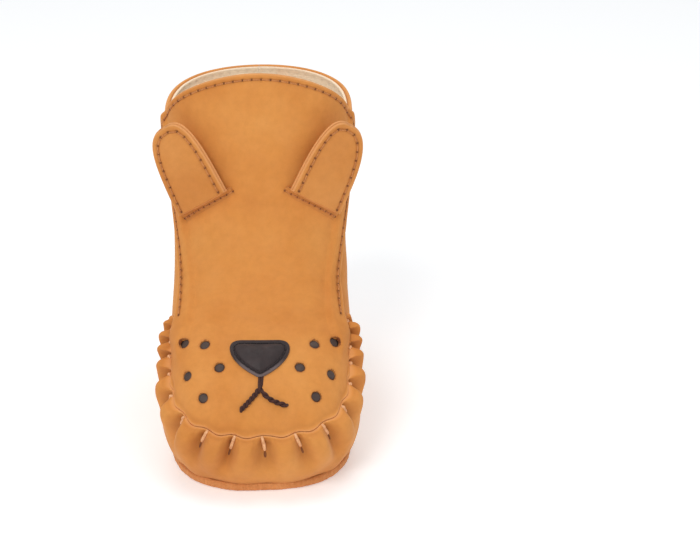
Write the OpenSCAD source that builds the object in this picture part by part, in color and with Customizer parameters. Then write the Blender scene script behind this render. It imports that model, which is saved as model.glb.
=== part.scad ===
// Soft leather baby bootie with an animal face: a gathered toe wrap, a tall face panel with two ears,
// two quarters, a cotton lining, a soft sole and a hook-and-loop flap at the back of the shaft.
// The toe points along -Y, X runs across the foot, and the sole rests on Z = 0.
// Every leather piece is a sheet laid on one smooth body, the last, at its own depth.

/* [Overall size] */
// Length of the last from toe to heel
foot_length = 116; // [92:1:150]
// Width of the last across the ball of the foot
foot_width = 60; // [48:1:78]
// Height of the front panel's top edge
shaft_height = 118; // [95:1:150]
// Height of the rear collar at the centre of the back
collar_height = 107; // [86:1:130]
// Height at the sides, where the front and rear panels meet
side_height = 95; // [76:1:116]

/* [Leather and lining] */
// Thickness of the upper leather
leather = 1.3; // [0.8:0.1:2]
// Thickness of the ear and nose leather
thin_leather = 1.0; // [0.6:0.1:1.4]
// Thickness of the dark layer under the punched spots
underlay = 0.6; // [0.4:0.1:1]
// Thickness of the cotton lining
lining = 1.0; // [0.6:0.1:1.6]
// Thickness of the suede sole
sole = 3.0; // [2:0.1:5]
// Thickness of the foam insole
foam = 2.5; // [1.5:0.1:5]
// Thickness of the cotton sock liner on the foam
sock = 0.8; // [0.5:0.1:1.5]
// Gap kept between two layers that lie on each other
layer_gap = 0.15; // [0.1:0.05:0.3]

/* [Seams] */
// Height of the gathered seam at the tip of the toe
toe_seam = 20; // [15:0.5:26]
// Height of the gathered seam where it meets the side seams
side_seam = 43.5; // [35:0.5:54]
// Overlap of the face panel over each quarter
seam_overlap = 5; // [4:0.5:8]
// Distance of a stitch row from the edge beside it
stitch_inset = 2.1; // [1.5:0.1:3]
// Length of one stitch with its gap
stitch_pitch = 3.0; // [2.2:0.1:4.5]
// Thread diameter
thread = 0.7; // [0.5:0.05:1]

/* [Toe wrap] */
// How far the gathered wrap stands out from the last
wrap_bulge = 2.6; // [1:0.1:4]
// Puckers on each side of the middle one
puckers_each_side = 8; // [5:1:10]
// Depth of a pucker's pinch
pinch = 1.3; // [0.4:0.1:2]
// Diameter of the lacing strand
lace = 1.1; // [0.8:0.1:1.6]

/* [Face] */
// Diameter of a punched spot
spot_d = 3.5; // [2.5:0.1:5]
// Width of the nose patch
nose_w = 19.6; // [14:0.2:24]
// Length of the nose patch down the muzzle
nose_h = 13.4; // [10:0.2:16]
// Diameter of the mouth's embroidery cord
mouth_cord = 1.4; // [1:0.1:2]

/* [Ears] */
// Length of an ear from its base seam to its tip
ear_length = 29; // [20:0.5:36]
// Width of an ear at its base
ear_width = 19.4; // [14:0.2:23]
// Lean of the ears away from the shaft, in degrees
ear_tilt = 13; // [9:1:30]

/* [Closure] */
// Height of the flap's lower edge
flap_low = 54; // [50:1:62]
// Gap between the flap's upper edge and the rear collar
flap_drop = 5; // [4:0.5:10]
// Distance from the centre of the back to the flap's crease
crease_x = 6; // [4:0.5:9]
// Reach of the flap past the centre of the back
flap_reach = 13; // [10:0.5:18]
// Width of the strip that sews the flap to its quarter
sewn_width = 4.5; // [4:0.5:7]
// Width of the hook-and-loop tapes
tape_w = 9; // [6:0.5:12]
// Thickness of each tape
tape = 0.8; // [0.5:0.1:1.2]

/* [Hidden] */

TAN = [0.87, 0.60, 0.32];
TAN_PALE = [0.93, 0.76, 0.58];
SUEDE = [0.80, 0.50, 0.24];
CREAM = [0.96, 0.88, 0.78];
DARK = [0.24, 0.17, 0.16];
OCHRE = [0.50, 0.33, 0.18];

// Level sections of the last, from the sole up. Each row holds the height as a share of shaft_height,
// then the front, the back and the widest point as shares of foot_length, the half width as a share
// of foot_width, and the squareness of the outline, where 2 is an ellipse.
SECTIONS = [
    [0.000, -0.459, 0.474, -0.172, 0.467, 2.80],
    [0.025, -0.472, 0.483, -0.172, 0.487, 2.85],
    [0.085, -0.489, 0.496, -0.172, 0.500, 2.90],
    [0.153, -0.480, 0.500, -0.164, 0.500, 2.95],
    [0.212, -0.454, 0.498, -0.147, 0.497, 3.00],
    [0.284, -0.398, 0.491, -0.103, 0.490, 2.95],
    [0.356, -0.299, 0.483, -0.043, 0.480, 2.75],
    [0.411, -0.191, 0.476, 0.034, 0.473, 2.50],
    [0.475, -0.083, 0.472, 0.121, 0.472, 2.40],
    [0.551, -0.018, 0.470, 0.190, 0.480, 2.40],
    [0.695, 0.021, 0.474, 0.233, 0.503, 2.45],
    [0.847, 0.042, 0.478, 0.250, 0.527, 2.50],
    [1.050, 0.060, 0.483, 0.259, 0.540, 2.50],
];
ROWS = len(SECTIONS);

// Slopes of the section table, so that the sections join in one smooth curve.
function step(k) = (SECTIONS[k + 1] - SECTIONS[k]) / (SECTIONS[k + 1][0] - SECTIONS[k][0]);
function slope(k) =
    k == 0 ? step(0) :
    k == ROWS - 1 ? step(ROWS - 2) :
    let (below = SECTIONS[k][0] - SECTIONS[k - 1][0], above = SECTIONS[k + 1][0] - SECTIONS[k][0])
    (step(k - 1) * above + step(k) * below) / (below + above);
SLOPES = [for (k = [0 : ROWS - 1]) slope(k)];

DEGREES_PER_RADIAN = 180 / PI;
function unit(v) = v / norm(v);
function mix(a, b, t) = a + (b - a) * t;
function clamp01(t) = min(1, max(0, t));
function ease(low, high, value) =
    let (t = clamp01((value - low) / (high - low)))
    t * t * (3 - 2 * t);
function sgn(value) = value < 0 ? -1 : 1;

// The section at height z: [height share, front, back, widest, half width, squareness], in mm.
function section(z) =
    let (
        share = z / shaft_height,
        k = max([for (i = [0 : ROWS - 2]) if (i == 0 || SECTIONS[i][0] <= share) i]),
        span = SECTIONS[k + 1][0] - SECTIONS[k][0],
        t = (share - SECTIONS[k][0]) / span,
        a = SECTIONS[k],
        b = SECTIONS[k + 1],
        s = a * (2 * t ^ 3 - 3 * t ^ 2 + 1) + b * (3 * t ^ 2 - 2 * t ^ 3)
            + (SLOPES[k] * (t ^ 3 - 2 * t ^ 2 + t) + SLOPES[k + 1] * (t ^ 3 - t ^ 2)) * span
    )
    [z, s[1] * foot_length, s[2] * foot_length, s[3] * foot_length, s[4] * foot_width, s[5]];

// A point of the last. The angle is 0 at the front, 90 at the side of +X and 180 at the back.
function last_point(angle, z) =
    let (
        s = section(z),
        across = sin(angle),
        along = cos(angle),
        r = (abs(across) ^ s[5] + abs(along) ^ s[5]) ^ (-1 / s[5])
    )
    [s[4] * r * across, s[3] - (along > 0 ? s[3] - s[1] : s[2] - s[3]) * r * along, z];

NORMAL_STEP = 0.1;
function last_normal(angle, z) =
    unit(cross(
        last_point(angle + NORMAL_STEP, z) - last_point(angle - NORMAL_STEP, z),
        last_point(angle, z + NORMAL_STEP) - last_point(angle, z - NORMAL_STEP)
    ));

// A point that stands off the last by lift, along its normal.
function lifted(angle, z, lift) = last_point(angle, z) + lift * last_normal(angle, z);

// The angle at which the last's front (side 1) or back (side -1) reaches a given X.
function angle_at(x, z, side = 1) =
    let (
        s = section(z),
        q = min(0.999, (abs(x) / s[4]) ^ s[5]),
        a = atan((q / (1 - q)) ^ (1 / s[5]))
    )
    sgn(x) * (side > 0 ? a : 180 - a);

// The gathered seam, a broad U round the toe. Its parameter runs from -90 to 90.
SEAM_ANGLE = 66;
SEAM_SQUARE = 4;
SEAM_RISE = 5;
function seam_spot(tau) =
    let (r = (abs(sin(tau)) ^ SEAM_SQUARE + abs(cos(tau)) ^ SEAM_SQUARE) ^ (-1 / SEAM_SQUARE), a = r * sin(tau))
    [SEAM_ANGLE * a, toe_seam + SEAM_RISE * a ^ 2 + (side_seam - toe_seam - SEAM_RISE) * (1 - r * cos(tau))];

// Angle of the face panel's side edge, and the heights of the two top edges.
EDGE_ANGLE = 60;
TOP_EDGE_ANGLE = 80;
EDGE_LOW = 6;
EDGE_HIGH = 2;
function panel_edge(z) =
    EDGE_ANGLE + (TOP_EDGE_ANGLE - EDGE_ANGLE) * ease(side_seam, side_height + EDGE_LOW, z)
    + (SEAM_ANGLE - EDGE_ANGLE) * (1 - ease(side_seam - EDGE_LOW, side_seam + EDGE_HIGH, z));
function front_top(u) = shaft_height - (shaft_height - side_height) * u ^ 2;
function rear_top(angle) =
    collar_height - (collar_height - side_height) * ((180 - abs(angle)) / (180 - TOP_EDGE_ANGLE)) ^ 2;
function degrees_for(mm, z) = mm / section(z)[4] * DEGREES_PER_RADIAN;

// A closed sheet. spot(u, v) gives [angle, height] on the last for u and v from 0 to 1,
// and skin(u, v) gives the depths of its two faces.
module sheet(nu, nv, spot, skin) {
    us = [for (i = [0 : nu]) i / nu];
    vs = [for (j = [0 : nv]) j / nv];
    inner = [for (v = vs) for (u = us) let (s = spot(u, v)) lifted(s[0], s[1], skin(u, v)[0])];
    outer = [for (v = vs) for (u = us) let (s = spot(u, v)) lifted(s[0], s[1], skin(u, v)[1])];
    closed_grid(nu, nv, inner, outer);
}

// Closes the space between two grids of (nu + 1) by (nv + 1) points.
module closed_grid(nu, nv, inner, outer) {
    count = (nu + 1) * (nv + 1);
    function at(i, j) = j * (nu + 1) + i;
    quads = concat(
        [for (j = [0 : nv - 1]) for (i = [0 : nu - 1])
            count * [1, 1, 1, 1] + [at(i, j), at(i, j + 1), at(i + 1, j + 1), at(i + 1, j)]],
        [for (j = [0 : nv - 1]) for (i = [0 : nu - 1])
            [at(i, j), at(i + 1, j), at(i + 1, j + 1), at(i, j + 1)]],
        [for (i = [0 : nu - 1]) [at(i, 0), count + at(i, 0), count + at(i + 1, 0), at(i + 1, 0)]],
        [for (i = [0 : nu - 1]) [at(i + 1, nv), count + at(i + 1, nv), count + at(i, nv), at(i, nv)]],
        [for (j = [0 : nv - 1]) [at(0, j + 1), count + at(0, j + 1), count + at(0, j), at(0, j)]],
        [for (j = [0 : nv - 1]) [at(nu, j), count + at(nu, j), count + at(nu, j + 1), at(nu, j + 1)]]
    );
    triangles = [for (q = quads) each [[q[0], q[1], q[2]], [q[0], q[2], q[3]]]];
    polyhedron(concat(inner, outer), triangles);
}

// A round cord through a list of points, with a normal at each point that steers its section.
module cord(points, normals, d, sides = 6) {
    last = len(points) - 1;
    function ahead(k) = unit(points[min(k + 1, last)] - points[max(k - 1, 0)]);
    rings = [for (k = [0 : last]) for (i = [0 : sides - 1])
        let (side = unit(cross(ahead(k), normals[k])), up = cross(side, ahead(k)), a = 360 * i / sides)
        points[k] + d / 2 * (cos(a) * side + sin(a) * up)];
    walls = [for (k = [0 : last - 1]) for (i = [0 : sides - 1])
        let (a = k * sides + i, b = k * sides + (i + 1) % sides)
        each [[a, b, b + sides], [a, b + sides, a + sides]]];
    start = [for (i = [sides - 1 : -1 : 0]) i];
    end = [for (i = [0 : sides - 1]) last * sides + i];
    polyhedron(rings, concat(walls, [start], [end]));
}

// One straight stitch on the last between two spots, lying on a face at the depth given for each end.
STITCH_CLEARANCE = 0.14;
module stitch(a, b, depths, d = thread) {
    lift = d / 2 + STITCH_CLEARANCE;
    cord(
        [lifted(a[0], a[1], depths[0] + lift), lifted(b[0], b[1], depths[1] + lift)],
        [last_normal(a[0], a[1]), last_normal(b[0], b[1])],
        d
    );
}

// A row of stitches along route(t), t from 0 to 1, on a face whose depth is depth(t).
STITCH_SHARE = 0.66;
module stitch_row(count, route, depth) {
    for (k = [0 : count - 1]) {
        start = k / count;
        end = (k + STITCH_SHARE) / count;
        stitch(route(start), route(end), [depth(start), depth(end)]);
    }
}

// ---- Sole and insole ----

OUTLINE_STEPS = 72;
SOLE_EDGE = 0.9;
SOLE_CHAMFER = 0.8;
LINING_DEPTH = leather + 3.5 * layer_gap + underlay + lining;

// The outline of the last at height z, moved out by grow and set at height level.
function outline(z, grow, level) =
    [for (i = [0 : OUTLINE_STEPS - 1])
        let (p = last_point(360 * i / OUTLINE_STEPS, z), n = last_normal(360 * i / OUTLINE_STEPS, z))
        [p[0] + grow * unit([n[0], n[1]])[0], p[1] + grow * unit([n[0], n[1]])[1], level]];

// A closed slab through a stack of outlines.
module stack(rings) {
    n = OUTLINE_STEPS;
    top = (len(rings) - 1) * n;
    walls = [for (k = [0 : len(rings) - 2]) for (i = [0 : n - 1])
        let (a = k * n + i, b = k * n + (i + 1) % n)
        each [[a, b + n, b], [a, a + n, b + n]]];
    bottom_face = [for (i = [0 : n - 1]) i];
    top_face = [for (i = [n - 1 : -1 : 0]) top + i];
    polyhedron([for (r = rings) each r], concat(walls, [bottom_face], [top_face]));
}

module outsole() {
    color(SUEDE)
        stack([
            outline(sole, SOLE_EDGE - SOLE_CHAMFER, 0),
            outline(sole, SOLE_EDGE, SOLE_CHAMFER),
            outline(sole, SOLE_EDGE, sole - SOLE_CHAMFER / 2),
            outline(sole, SOLE_EDGE - SOLE_CHAMFER / 2, sole),
        ]);
}

INSOLE_CLEARANCE = 0.4;
module foam_insole() {
    inset = -LINING_DEPTH - INSOLE_CLEARANCE;
    base = sole + layer_gap;
    color("white")
        stack([outline(sole, inset, base), outline(sole + foam, inset, base + foam)]);
}

module sock_liner() {
    inset = -LINING_DEPTH - INSOLE_CLEARANCE;
    base = sole + foam + 2 * layer_gap;
    color(CREAM)
        stack([outline(sole + foam, inset, base), outline(sole + foam + sock, inset, base + sock)]);
}

// ---- Toe wrap and its gathered seam ----

WRAP_END = 96;
SEAM_GAP = 0.5;
WRAP_LEAD = 6;
WRAP_FOOT_SHARE = 0.4;
PUCKER_END = 84;
PUCKER_SPREAD = 0.8;
PUCKER_SHIFT = 2;
MM_PER_DEGREE = foot_width / 2 / DEGREES_PER_RADIAN;

// Seam parameter of pucker k, wider apart at the toe than at the sides, and its inverse.
function pucker_tau(k) = PUCKER_SHIFT + sgn(k) * PUCKER_END * (abs(k) / puckers_each_side) ^ PUCKER_SPREAD;
function pucker_phase(tau) = puckers_each_side * (abs(tau - PUCKER_SHIFT) / PUCKER_END) ^ (1 / PUCKER_SPREAD);

// One millimetre square away from the seam, on the side of the wrap, as [degrees, mm].
function seam_away(tau) =
    let (
        a = seam_spot(tau - 1),
        b = seam_spot(tau + 1),
        heading = unit([(b[0] - a[0]) * MM_PER_DEGREE, b[1] - a[1]])
    )
    [heading[1] / MM_PER_DEGREE, -heading[0]];

// A column of the wrap leaves the seam squarely and lands upright on the sole: v is 0 there and 1 at the seam.
function wrap_spot(tau, v) =
    let (
        low = sole + layer_gap,
        top = seam_spot(tau) + SEAM_GAP * seam_away(tau),
        foot = [WRAP_END * sin(tau), low],
        after_top = top + WRAP_LEAD * seam_away(tau),
        over_foot = foot + [0, WRAP_FOOT_SHARE * (top[1] - low)],
        t = 1 - v
    )
    top * v ^ 3 + 3 * after_top * v ^ 2 * t + 3 * over_foot * v * t ^ 2 + foot * t ^ 3;
WRAP_SLANT = 1.1;
function wrap_column(tau) = WRAP_SLANT * (seam_spot(tau)[1] - sole);

// The wrap rolls out from the seam, swells, is pinched at each pucker and comes down to the sole.
ROLL = 5;
END_FLATTENING = 0.9;
PINCH_START = 0.8;
PINCH_END = 8;
WRAP_FOOT_LIFT = 0.3;
function wrap_lift(tau, v) =
    let (
        away = (1 - v) * wrap_column(tau),
        swell = 1 - END_FLATTENING * (abs(tau) / 90) ^ 4,
        roll = away < ROLL ? 1 - (1 - away / ROLL) ^ 2 : 1,
        fall = away < ROLL ? 1 : 1 - ((away - ROLL) / (wrap_column(tau) - ROLL)) ^ 2,
        fold = (0.5 + 0.5 * cos(360 * pucker_phase(tau))) ^ 3,
        reach = clamp01((away - PINCH_START) / (PINCH_END - PINCH_START))
    )
    WRAP_FOOT_LIFT + wrap_bulge * swell * roll * fall - pinch * fold * sin(180 * reach);

WRAP_COLUMNS = 100;
WRAP_ROWS = 8;
// Rows are closer together near the seam.
WRAP_CROWDING = 1.4;
function wrap_v(v) = 1 - (1 - v) ^ WRAP_CROWDING;
module toe_wrap() {
    color(TAN)
        sheet(
            WRAP_COLUMNS, WRAP_ROWS,
            function (u, v) wrap_spot(180 * u - 90, wrap_v(v)),
            function (u, v) let (d = wrap_lift(180 * u - 90, wrap_v(v))) [d - leather, d]
        );
}

// A strand leaves the seam groove beside each pucker, arcs over the wrap and dips into the slit below.
LACE_STEPS = 5;
LACE_START = 0.3;
LACE_END = 4.6;
LACE_HOP = 0.9;
LACE_LIFT = 0.25;
module gather_lacing() {
    color(TAN_PALE)
        for (k = [-puckers_each_side : puckers_each_side])
            let (
                tau = pucker_tau(k),
                column = wrap_column(tau),
                ways = [for (i = [0 : LACE_STEPS]) i / LACE_STEPS],
                vs = [for (t = ways) 1 - mix(LACE_START, LACE_END, t) / column],
                spots = [for (v = vs) wrap_spot(tau, v)],
                bed = lace / 2 + LACE_LIFT
            )
            cord(
                [for (i = [0 : LACE_STEPS])
                    lifted(
                        spots[i][0], spots[i][1],
                        wrap_lift(tau, vs[i]) + bed + LACE_HOP * sin(180 * ways[i])
                    )],
                [for (p = spots) last_normal(p[0], p[1])],
                lace
            );
}

// ---- Face panel ----

PANEL_COLUMNS = 32;
PANEL_ROWS = 22;
PANEL_SEAM_GAP = 0.2;
PANEL_CROWDING = 1.25;
STEP_START = 0.6;
STEP_END = 3.6;
STEP_LOW = 9;
STEP_HIGH = 3;
RAISE = leather + layer_gap;

// Columns are closer together near the panel's side edges, where it steps up over the quarters.
function panel_u(u) = let (s = 2 * u - 1) sgn(s) * (1 - (1 - abs(s)) ^ PANEL_CROWDING);
function panel_spot(u, v) =
    let (
        side = panel_u(u),
        tau = side_to_tau(side),
        low = seam_spot(tau)[1] + PANEL_SEAM_GAP,
        z = mix(low, front_top(side), v)
    )
    [side * panel_edge(z), z];
// Seam parameter whose angle is a share of the seam's end angle.
function side_to_tau(side) =
    let (a = min(0.9995, abs(side)))
    sgn(side) * atan(a / (1 - a ^ SEAM_SQUARE) ^ (1 / SEAM_SQUARE));
function panel_raise(side, z) =
    let (
        to_edge = (1 - abs(side)) * panel_edge(z) / DEGREES_PER_RADIAN * section(z)[4],
        blend = 1 - ease(seam_overlap + STEP_START, seam_overlap + STEP_END, to_edge)
    )
    RAISE * blend * ease(side_seam - STEP_LOW, side_seam - STEP_HIGH, z);

// Centres of the spots: X as a share of half the foot's width, and the height as a share of the way
// from the toe seam to the side seam.
SPOTS = [[0.80, 0.86], [0.58, 0.91], [0.42, 0.73], [0.76, 0.58], [0.59, 0.41]];
function face_z(share) = mix(toe_seam, side_seam, share);
PUNCH_REACH = 1;
PUNCH_SIDES = 24;

module spot_punch(side, spot) {
    z = face_z(spot[1]);
    angle = angle_at(side * spot[0] * foot_width / 2, z);
    n = last_normal(angle, z);
    translate(lifted(angle, z, -leather - PUNCH_REACH))
        rotate([0, acos(n[2]), atan2(n[1], n[0])])
            cylinder(h = leather + 2 * PUNCH_REACH, d = spot_d, $fn = PUNCH_SIDES);
}

module face_panel() {
    color(TAN)
        difference() {
            sheet(
                PANEL_COLUMNS, PANEL_ROWS,
                function (u, v) panel_spot(u, v),
                function (u, v)
                    let (s = panel_spot(u, v), d = panel_raise(panel_u(u), s[1])) [d - leather, d]
            );
            for (side = [-1, 1], spot = SPOTS)
                spot_punch(side, spot);
        }
}

UNDERLAY_LOW = 0.25;
UNDERLAY_HIGH = 1.02;
UNDERLAY_HALF = 0.89;
module muzzle_underlay() {
    depth = -leather - layer_gap;
    low = face_z(UNDERLAY_LOW);
    high = face_z(UNDERLAY_HIGH);
    half = UNDERLAY_HALF * foot_width / 2;
    color(DARK)
        sheet(
            14, 6,
            function (u, v)
                let (z = mix(low, high, v))
                [angle_at(mix(-half, half, u), z), z],
            function (u, v) [depth - underlay, depth]
        );
}

// ---- Nose and mouth ----

NOSE_CENTRE = 0.80;
NOSE_TOP_FLAT = 8;
NOSE_TAPER = 0.62;
NOSE_FULLNESS = 1.04;
// Surface length of the muzzle per millimetre of height, at the nose.
function muzzle_steepness() =
    let (z = face_z(NOSE_CENTRE))
    norm(last_point(0, z + 1) - last_point(0, z - 1)) / 2;
// Half width of the nose at a share t of its height, from the point at the bottom to the flat top.
function nose_half(t) =
    NOSE_FULLNESS * nose_w / 2 * t ^ NOSE_TAPER * (1 - t ^ NOSE_TOP_FLAT) ^ (1 / NOSE_TOP_FLAT);
function nose_spot(x, t) =
    let (z = face_z(NOSE_CENTRE) + (t - 0.5) * nose_h / muzzle_steepness())
    [angle_at(x, z), z];
NOSE_LIFT = 0.1;
NOSE_LOW = 0.05;
NOSE_HIGH = 0.98;

module nose_patch() {
    color(DARK)
        sheet(
            12, 8,
            function (u, v)
                let (t = mix(NOSE_LOW, NOSE_HIGH, v)) nose_spot((2 * u - 1) * nose_half(t), t),
            function (u, v) [NOSE_LIFT, NOSE_LIFT + thin_leather]
        );
}

// Closed row just inside the nose's edge: up one side, across the top and down the other.
NOSE_STITCHES = 20;
NOSE_INSET = 1.3;
NOSE_FACE = NOSE_LIFT + thin_leather;
NOSE_THREAD_SHARE = 0.6;
NOSE_ROW_TURN = 0.62;
NOSE_ROW_LOW = 0.2;
NOSE_ROW_HIGH = 0.9;
function nose_row(t) =
    let (
        side = t < 0.5 ? 1 : -1,
        s = t < 0.5 ? 2 * t : 2 - 2 * t,
        rise = min(1, s / NOSE_ROW_TURN),
        inwards = max(0, (s - NOSE_ROW_TURN) / (1 - NOSE_ROW_TURN)),
        level = mix(NOSE_ROW_LOW, NOSE_ROW_HIGH, rise)
    )
    nose_spot(side * (nose_half(level) - NOSE_INSET) * (1 - inwards), level);

module nose_stitching() {
    color(OCHRE)
        for (k = [0 : NOSE_STITCHES - 1])
            stitch(
                nose_row((k + 0.2) / NOSE_STITCHES), nose_row((k + 0.8) / NOSE_STITCHES),
                [NOSE_FACE, NOSE_FACE], thread * NOSE_THREAD_SHARE
            );
}

// The mouth: a short line down from the nose that parts into two curved branches.
MOUTH_LIFT = 0.1;
MOUTH_LEFT = [[0, 0.60], [0, 0.52], [-0.02, 0.49], [-0.10, 0.405], [-0.20, 0.305]];
MOUTH_RIGHT = [[0.045, 0.46], [0.10, 0.425], [0.18, 0.385], [0.28, 0.35]];
module mouth_cord_along(points) {
    spots = [for (p = points) let (z = face_z(p[1])) [angle_at(p[0] * foot_width / 2, z), z]];
    cord(
        [for (s = spots) lifted(s[0], s[1], mouth_cord / 2 + MOUTH_LIFT)],
        [for (s = spots) last_normal(s[0], s[1])],
        mouth_cord, 8
    );
}
module mouth_embroidery() {
    color(DARK) {
        mouth_cord_along(MOUTH_LEFT);
        mouth_cord_along(MOUTH_RIGHT);
    }
}

// ---- Topstitching of the face panel ----

// The row follows the panel's edge: t runs up the -X side, over the top and down the +X side.
SIDE_SHARE = 0.3;
ROW_REACH = 0.98;
ROW_TOP_DROP = 1.5;
function panel_row(t) =
    let (
        side = t < 0.5 ? -1 : 1,
        s = t < 0.5 ? 2 * t : 2 - 2 * t,
        climb = clamp01(s / (2 * SIDE_SHARE)),
        across = clamp01((s - 2 * SIDE_SHARE) / (1 - 2 * SIDE_SHARE)),
        u = side * cos(90 * across) * ROW_REACH,
        top = front_top(u) - stitch_inset,
        side_top = front_top(ROW_REACH) - stitch_inset - ROW_TOP_DROP,
        z = s < 2 * SIDE_SHARE ? mix(side_seam + stitch_inset, side_top, climb) : top
    )
    [u * (panel_edge(z) - degrees_for(stitch_inset, z) * (1 - across) ^ 2), z];
TOP_EDGE_WIDTHS = 1.35;
PANEL_ROW_LENGTH = 2 * (side_height - side_seam) + TOP_EDGE_WIDTHS * foot_width;
module panel_stitching() {
    count = 2 * round(PANEL_ROW_LENGTH / stitch_pitch / 2);
    color(OCHRE)
        stitch_row(
            count,
            function (t) panel_row(t),
            function (t) let (s = panel_row(t)) panel_raise(s[0] / panel_edge(s[1]), s[1])
        );
}

// ---- Quarters ----

BACK_GAP = 0.15;
QUARTER_SPLIT = 0.4;
SIDE_GAP = 1.2;
UNDERLAP_TURN = 0.12;
// The front edge of a quarter follows the rear edge of the wrap, then runs up under the face panel.
function quarter_front(v) =
    v <= QUARTER_SPLIT
        ? wrap_spot(90, v / QUARTER_SPLIT) + [SIDE_GAP, 0]
        : let (z = mix(side_seam, side_height, (v - QUARTER_SPLIT) / (1 - QUARTER_SPLIT)))
            [panel_edge(z) - degrees_for(seam_overlap, z) * ease(0, UNDERLAP_TURN, v - QUARTER_SPLIT), z];
function quarter_spot(side, u, v) =
    let (
        low = sole + layer_gap,
        front = quarter_front(v),
        back = abs(angle_at(BACK_GAP, mix(low, collar_height, v), -1)),
        angle = mix(front[0], back, u),
        level = low + v / QUARTER_SPLIT * (side_seam - low),
        top = rear_top(max(angle, TOP_EDGE_ANGLE)),
        z = v <= QUARTER_SPLIT ? mix(front[1], level, ease(0, 0.5, u))
            : mix(side_seam, top, (v - QUARTER_SPLIT) / (1 - QUARTER_SPLIT))
    )
    [side * angle, z];
module quarter(side) {
    color(TAN)
        sheet(
            18, 20,
            function (u, v) quarter_spot(side, side > 0 ? u : 1 - u, v),
            function (u, v) [-leather, 0]
        );
}
module quarter_left() {
    quarter(-1);
}
module quarter_right() {
    quarter(1);
}

// The row round the rear collar, between the face panel's two side edges.
RIM_ROW_START = TOP_EDGE_ANGLE + 6;
RIM_ROW_WIDTHS = 1.9;
module rear_rim_stitching() {
    count = round(RIM_ROW_WIDTHS * foot_width / stitch_pitch);
    function row(t) =
        let (angle = mix(RIM_ROW_START, 360 - RIM_ROW_START, t), turned = angle > 180 ? angle - 360 : angle)
        [turned, rear_top(turned) - stitch_inset];
    color(OCHRE)
        stitch_row(count, function (t) row(t), function (t) 0);
}

BACK_ROW_LOW = 5;
BACK_ROW_HIGH = 4;
module back_seam_stitching() {
    low = sole + BACK_ROW_LOW;
    high = flap_low - BACK_ROW_HIGH;
    count = round((high - low) / stitch_pitch);
    color(OCHRE)
        for (side = [-1, 1])
            stitch_row(
                count,
                function (t) let (z = mix(low, high, t)) [angle_at(side * stitch_inset, z, -1), z],
                function (t) 0
            );
}

// ---- Lining ----

FRONT_LINING_END = 78;
SIDE_LINING_START = 80;
LINING_TOP_GAP = 0.4;
LINING_BASE = sole + layer_gap;
SIDE_LINING_DEPTH = leather + layer_gap + lining;
module lining_front() {
    color(CREAM)
        sheet(
            18, 15,
            function (u, v)
                let (side = 2 * u - 1)
                [side * FRONT_LINING_END, mix(LINING_BASE, front_top(side) - LINING_TOP_GAP, v)],
            function (u, v) [-LINING_DEPTH, lining - LINING_DEPTH]
        );
}
module side_lining(side) {
    color(CREAM)
        sheet(
            12, 15,
            function (u, v)
                let (
                    s = side > 0 ? u : 1 - u,
                    back = abs(angle_at(BACK_GAP, side_height, -1)),
                    angle = mix(SIDE_LINING_START, back, s)
                )
                [side * angle, mix(LINING_BASE, rear_top(angle) - LINING_TOP_GAP, v)],
            function (u, v) [-SIDE_LINING_DEPTH, lining - SIDE_LINING_DEPTH]
        );
}
module lining_left() {
    side_lining(-1);
}
module lining_right() {
    side_lining(1);
}

// ---- Ears ----

// Base seam of an ear on the +X side: its inner and outer ends, as [angle, height].
EAR_INNER = [15, 0.68 * shaft_height];
EAR_OUTER = [52, 0.58 * shaft_height];
EAR_STAND = 1.8;
EAR_SQUARE = 3.0;
EAR_TAPER = 0.10;
EAR_SHIFT = 4;
EAR_END = 0.985;
EAR_START = 0.9;
EAR_BODY_GAP = 0.1;

function ear_spot(side, u, lift) =
    let (s = mix(EAR_OUTER, EAR_INNER, u))
    lifted(side * s[0], s[1], lift);
// Frame of an ear: [origin, along the base towards the inner end, up the ear, away from the shaft, bow].
function ear_frame(side) =
    let (
        outer = ear_spot(side, 0, EAR_STAND),
        inner = ear_spot(side, 1, EAR_STAND),
        middle = ear_spot(side, 0.5, EAR_STAND),
        along = unit(inner - outer),
        s = mix(EAR_OUTER, EAR_INNER, 0.5),
        n = last_normal(side * s[0], s[1]),
        away = unit(n - (n * along) * along),
        up = -side * cross(away, along),
        bow = (middle - (inner + outer) / 2) * away / (norm(inner - outer) / 2) ^ 2
    )
    [
        middle, along,
        up * cos(ear_tilt) + away * sin(ear_tilt),
        away * cos(ear_tilt) - up * sin(ear_tilt),
        bow,
    ];
function ear_half(t) = ear_width / 2 * (1 - t ^ EAR_SQUARE) ^ (1 / EAR_SQUARE) * (1 - EAR_TAPER * t);
// A point of an ear: a is the distance along the base, b the distance up the ear and c the depth.
function ear_point(frame, a, b, c) =
    frame[0] + a * frame[1] + b * frame[2] + (c - frame[4] * a ^ 2) * frame[3];

module ear_leaf(side, depth) {
    frame = ear_frame(side);
    nu = 10;
    nv = 10;
    function at(u, v, c) =
        let (t = EAR_END * sin(90 * v), s = side > 0 ? 1 - 2 * u : 2 * u - 1)
        ear_point(frame, EAR_SHIFT * t + s * ear_half(t), EAR_START + t * (ear_length - EAR_START), c);
    closed_grid(
        nu, nv,
        [for (j = [0 : nv]) for (i = [0 : nu]) at(i / nu, j / nv, depth)],
        [for (j = [0 : nv]) for (i = [0 : nu]) at(i / nu, j / nv, depth + thin_leather)]
    );
}

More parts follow.
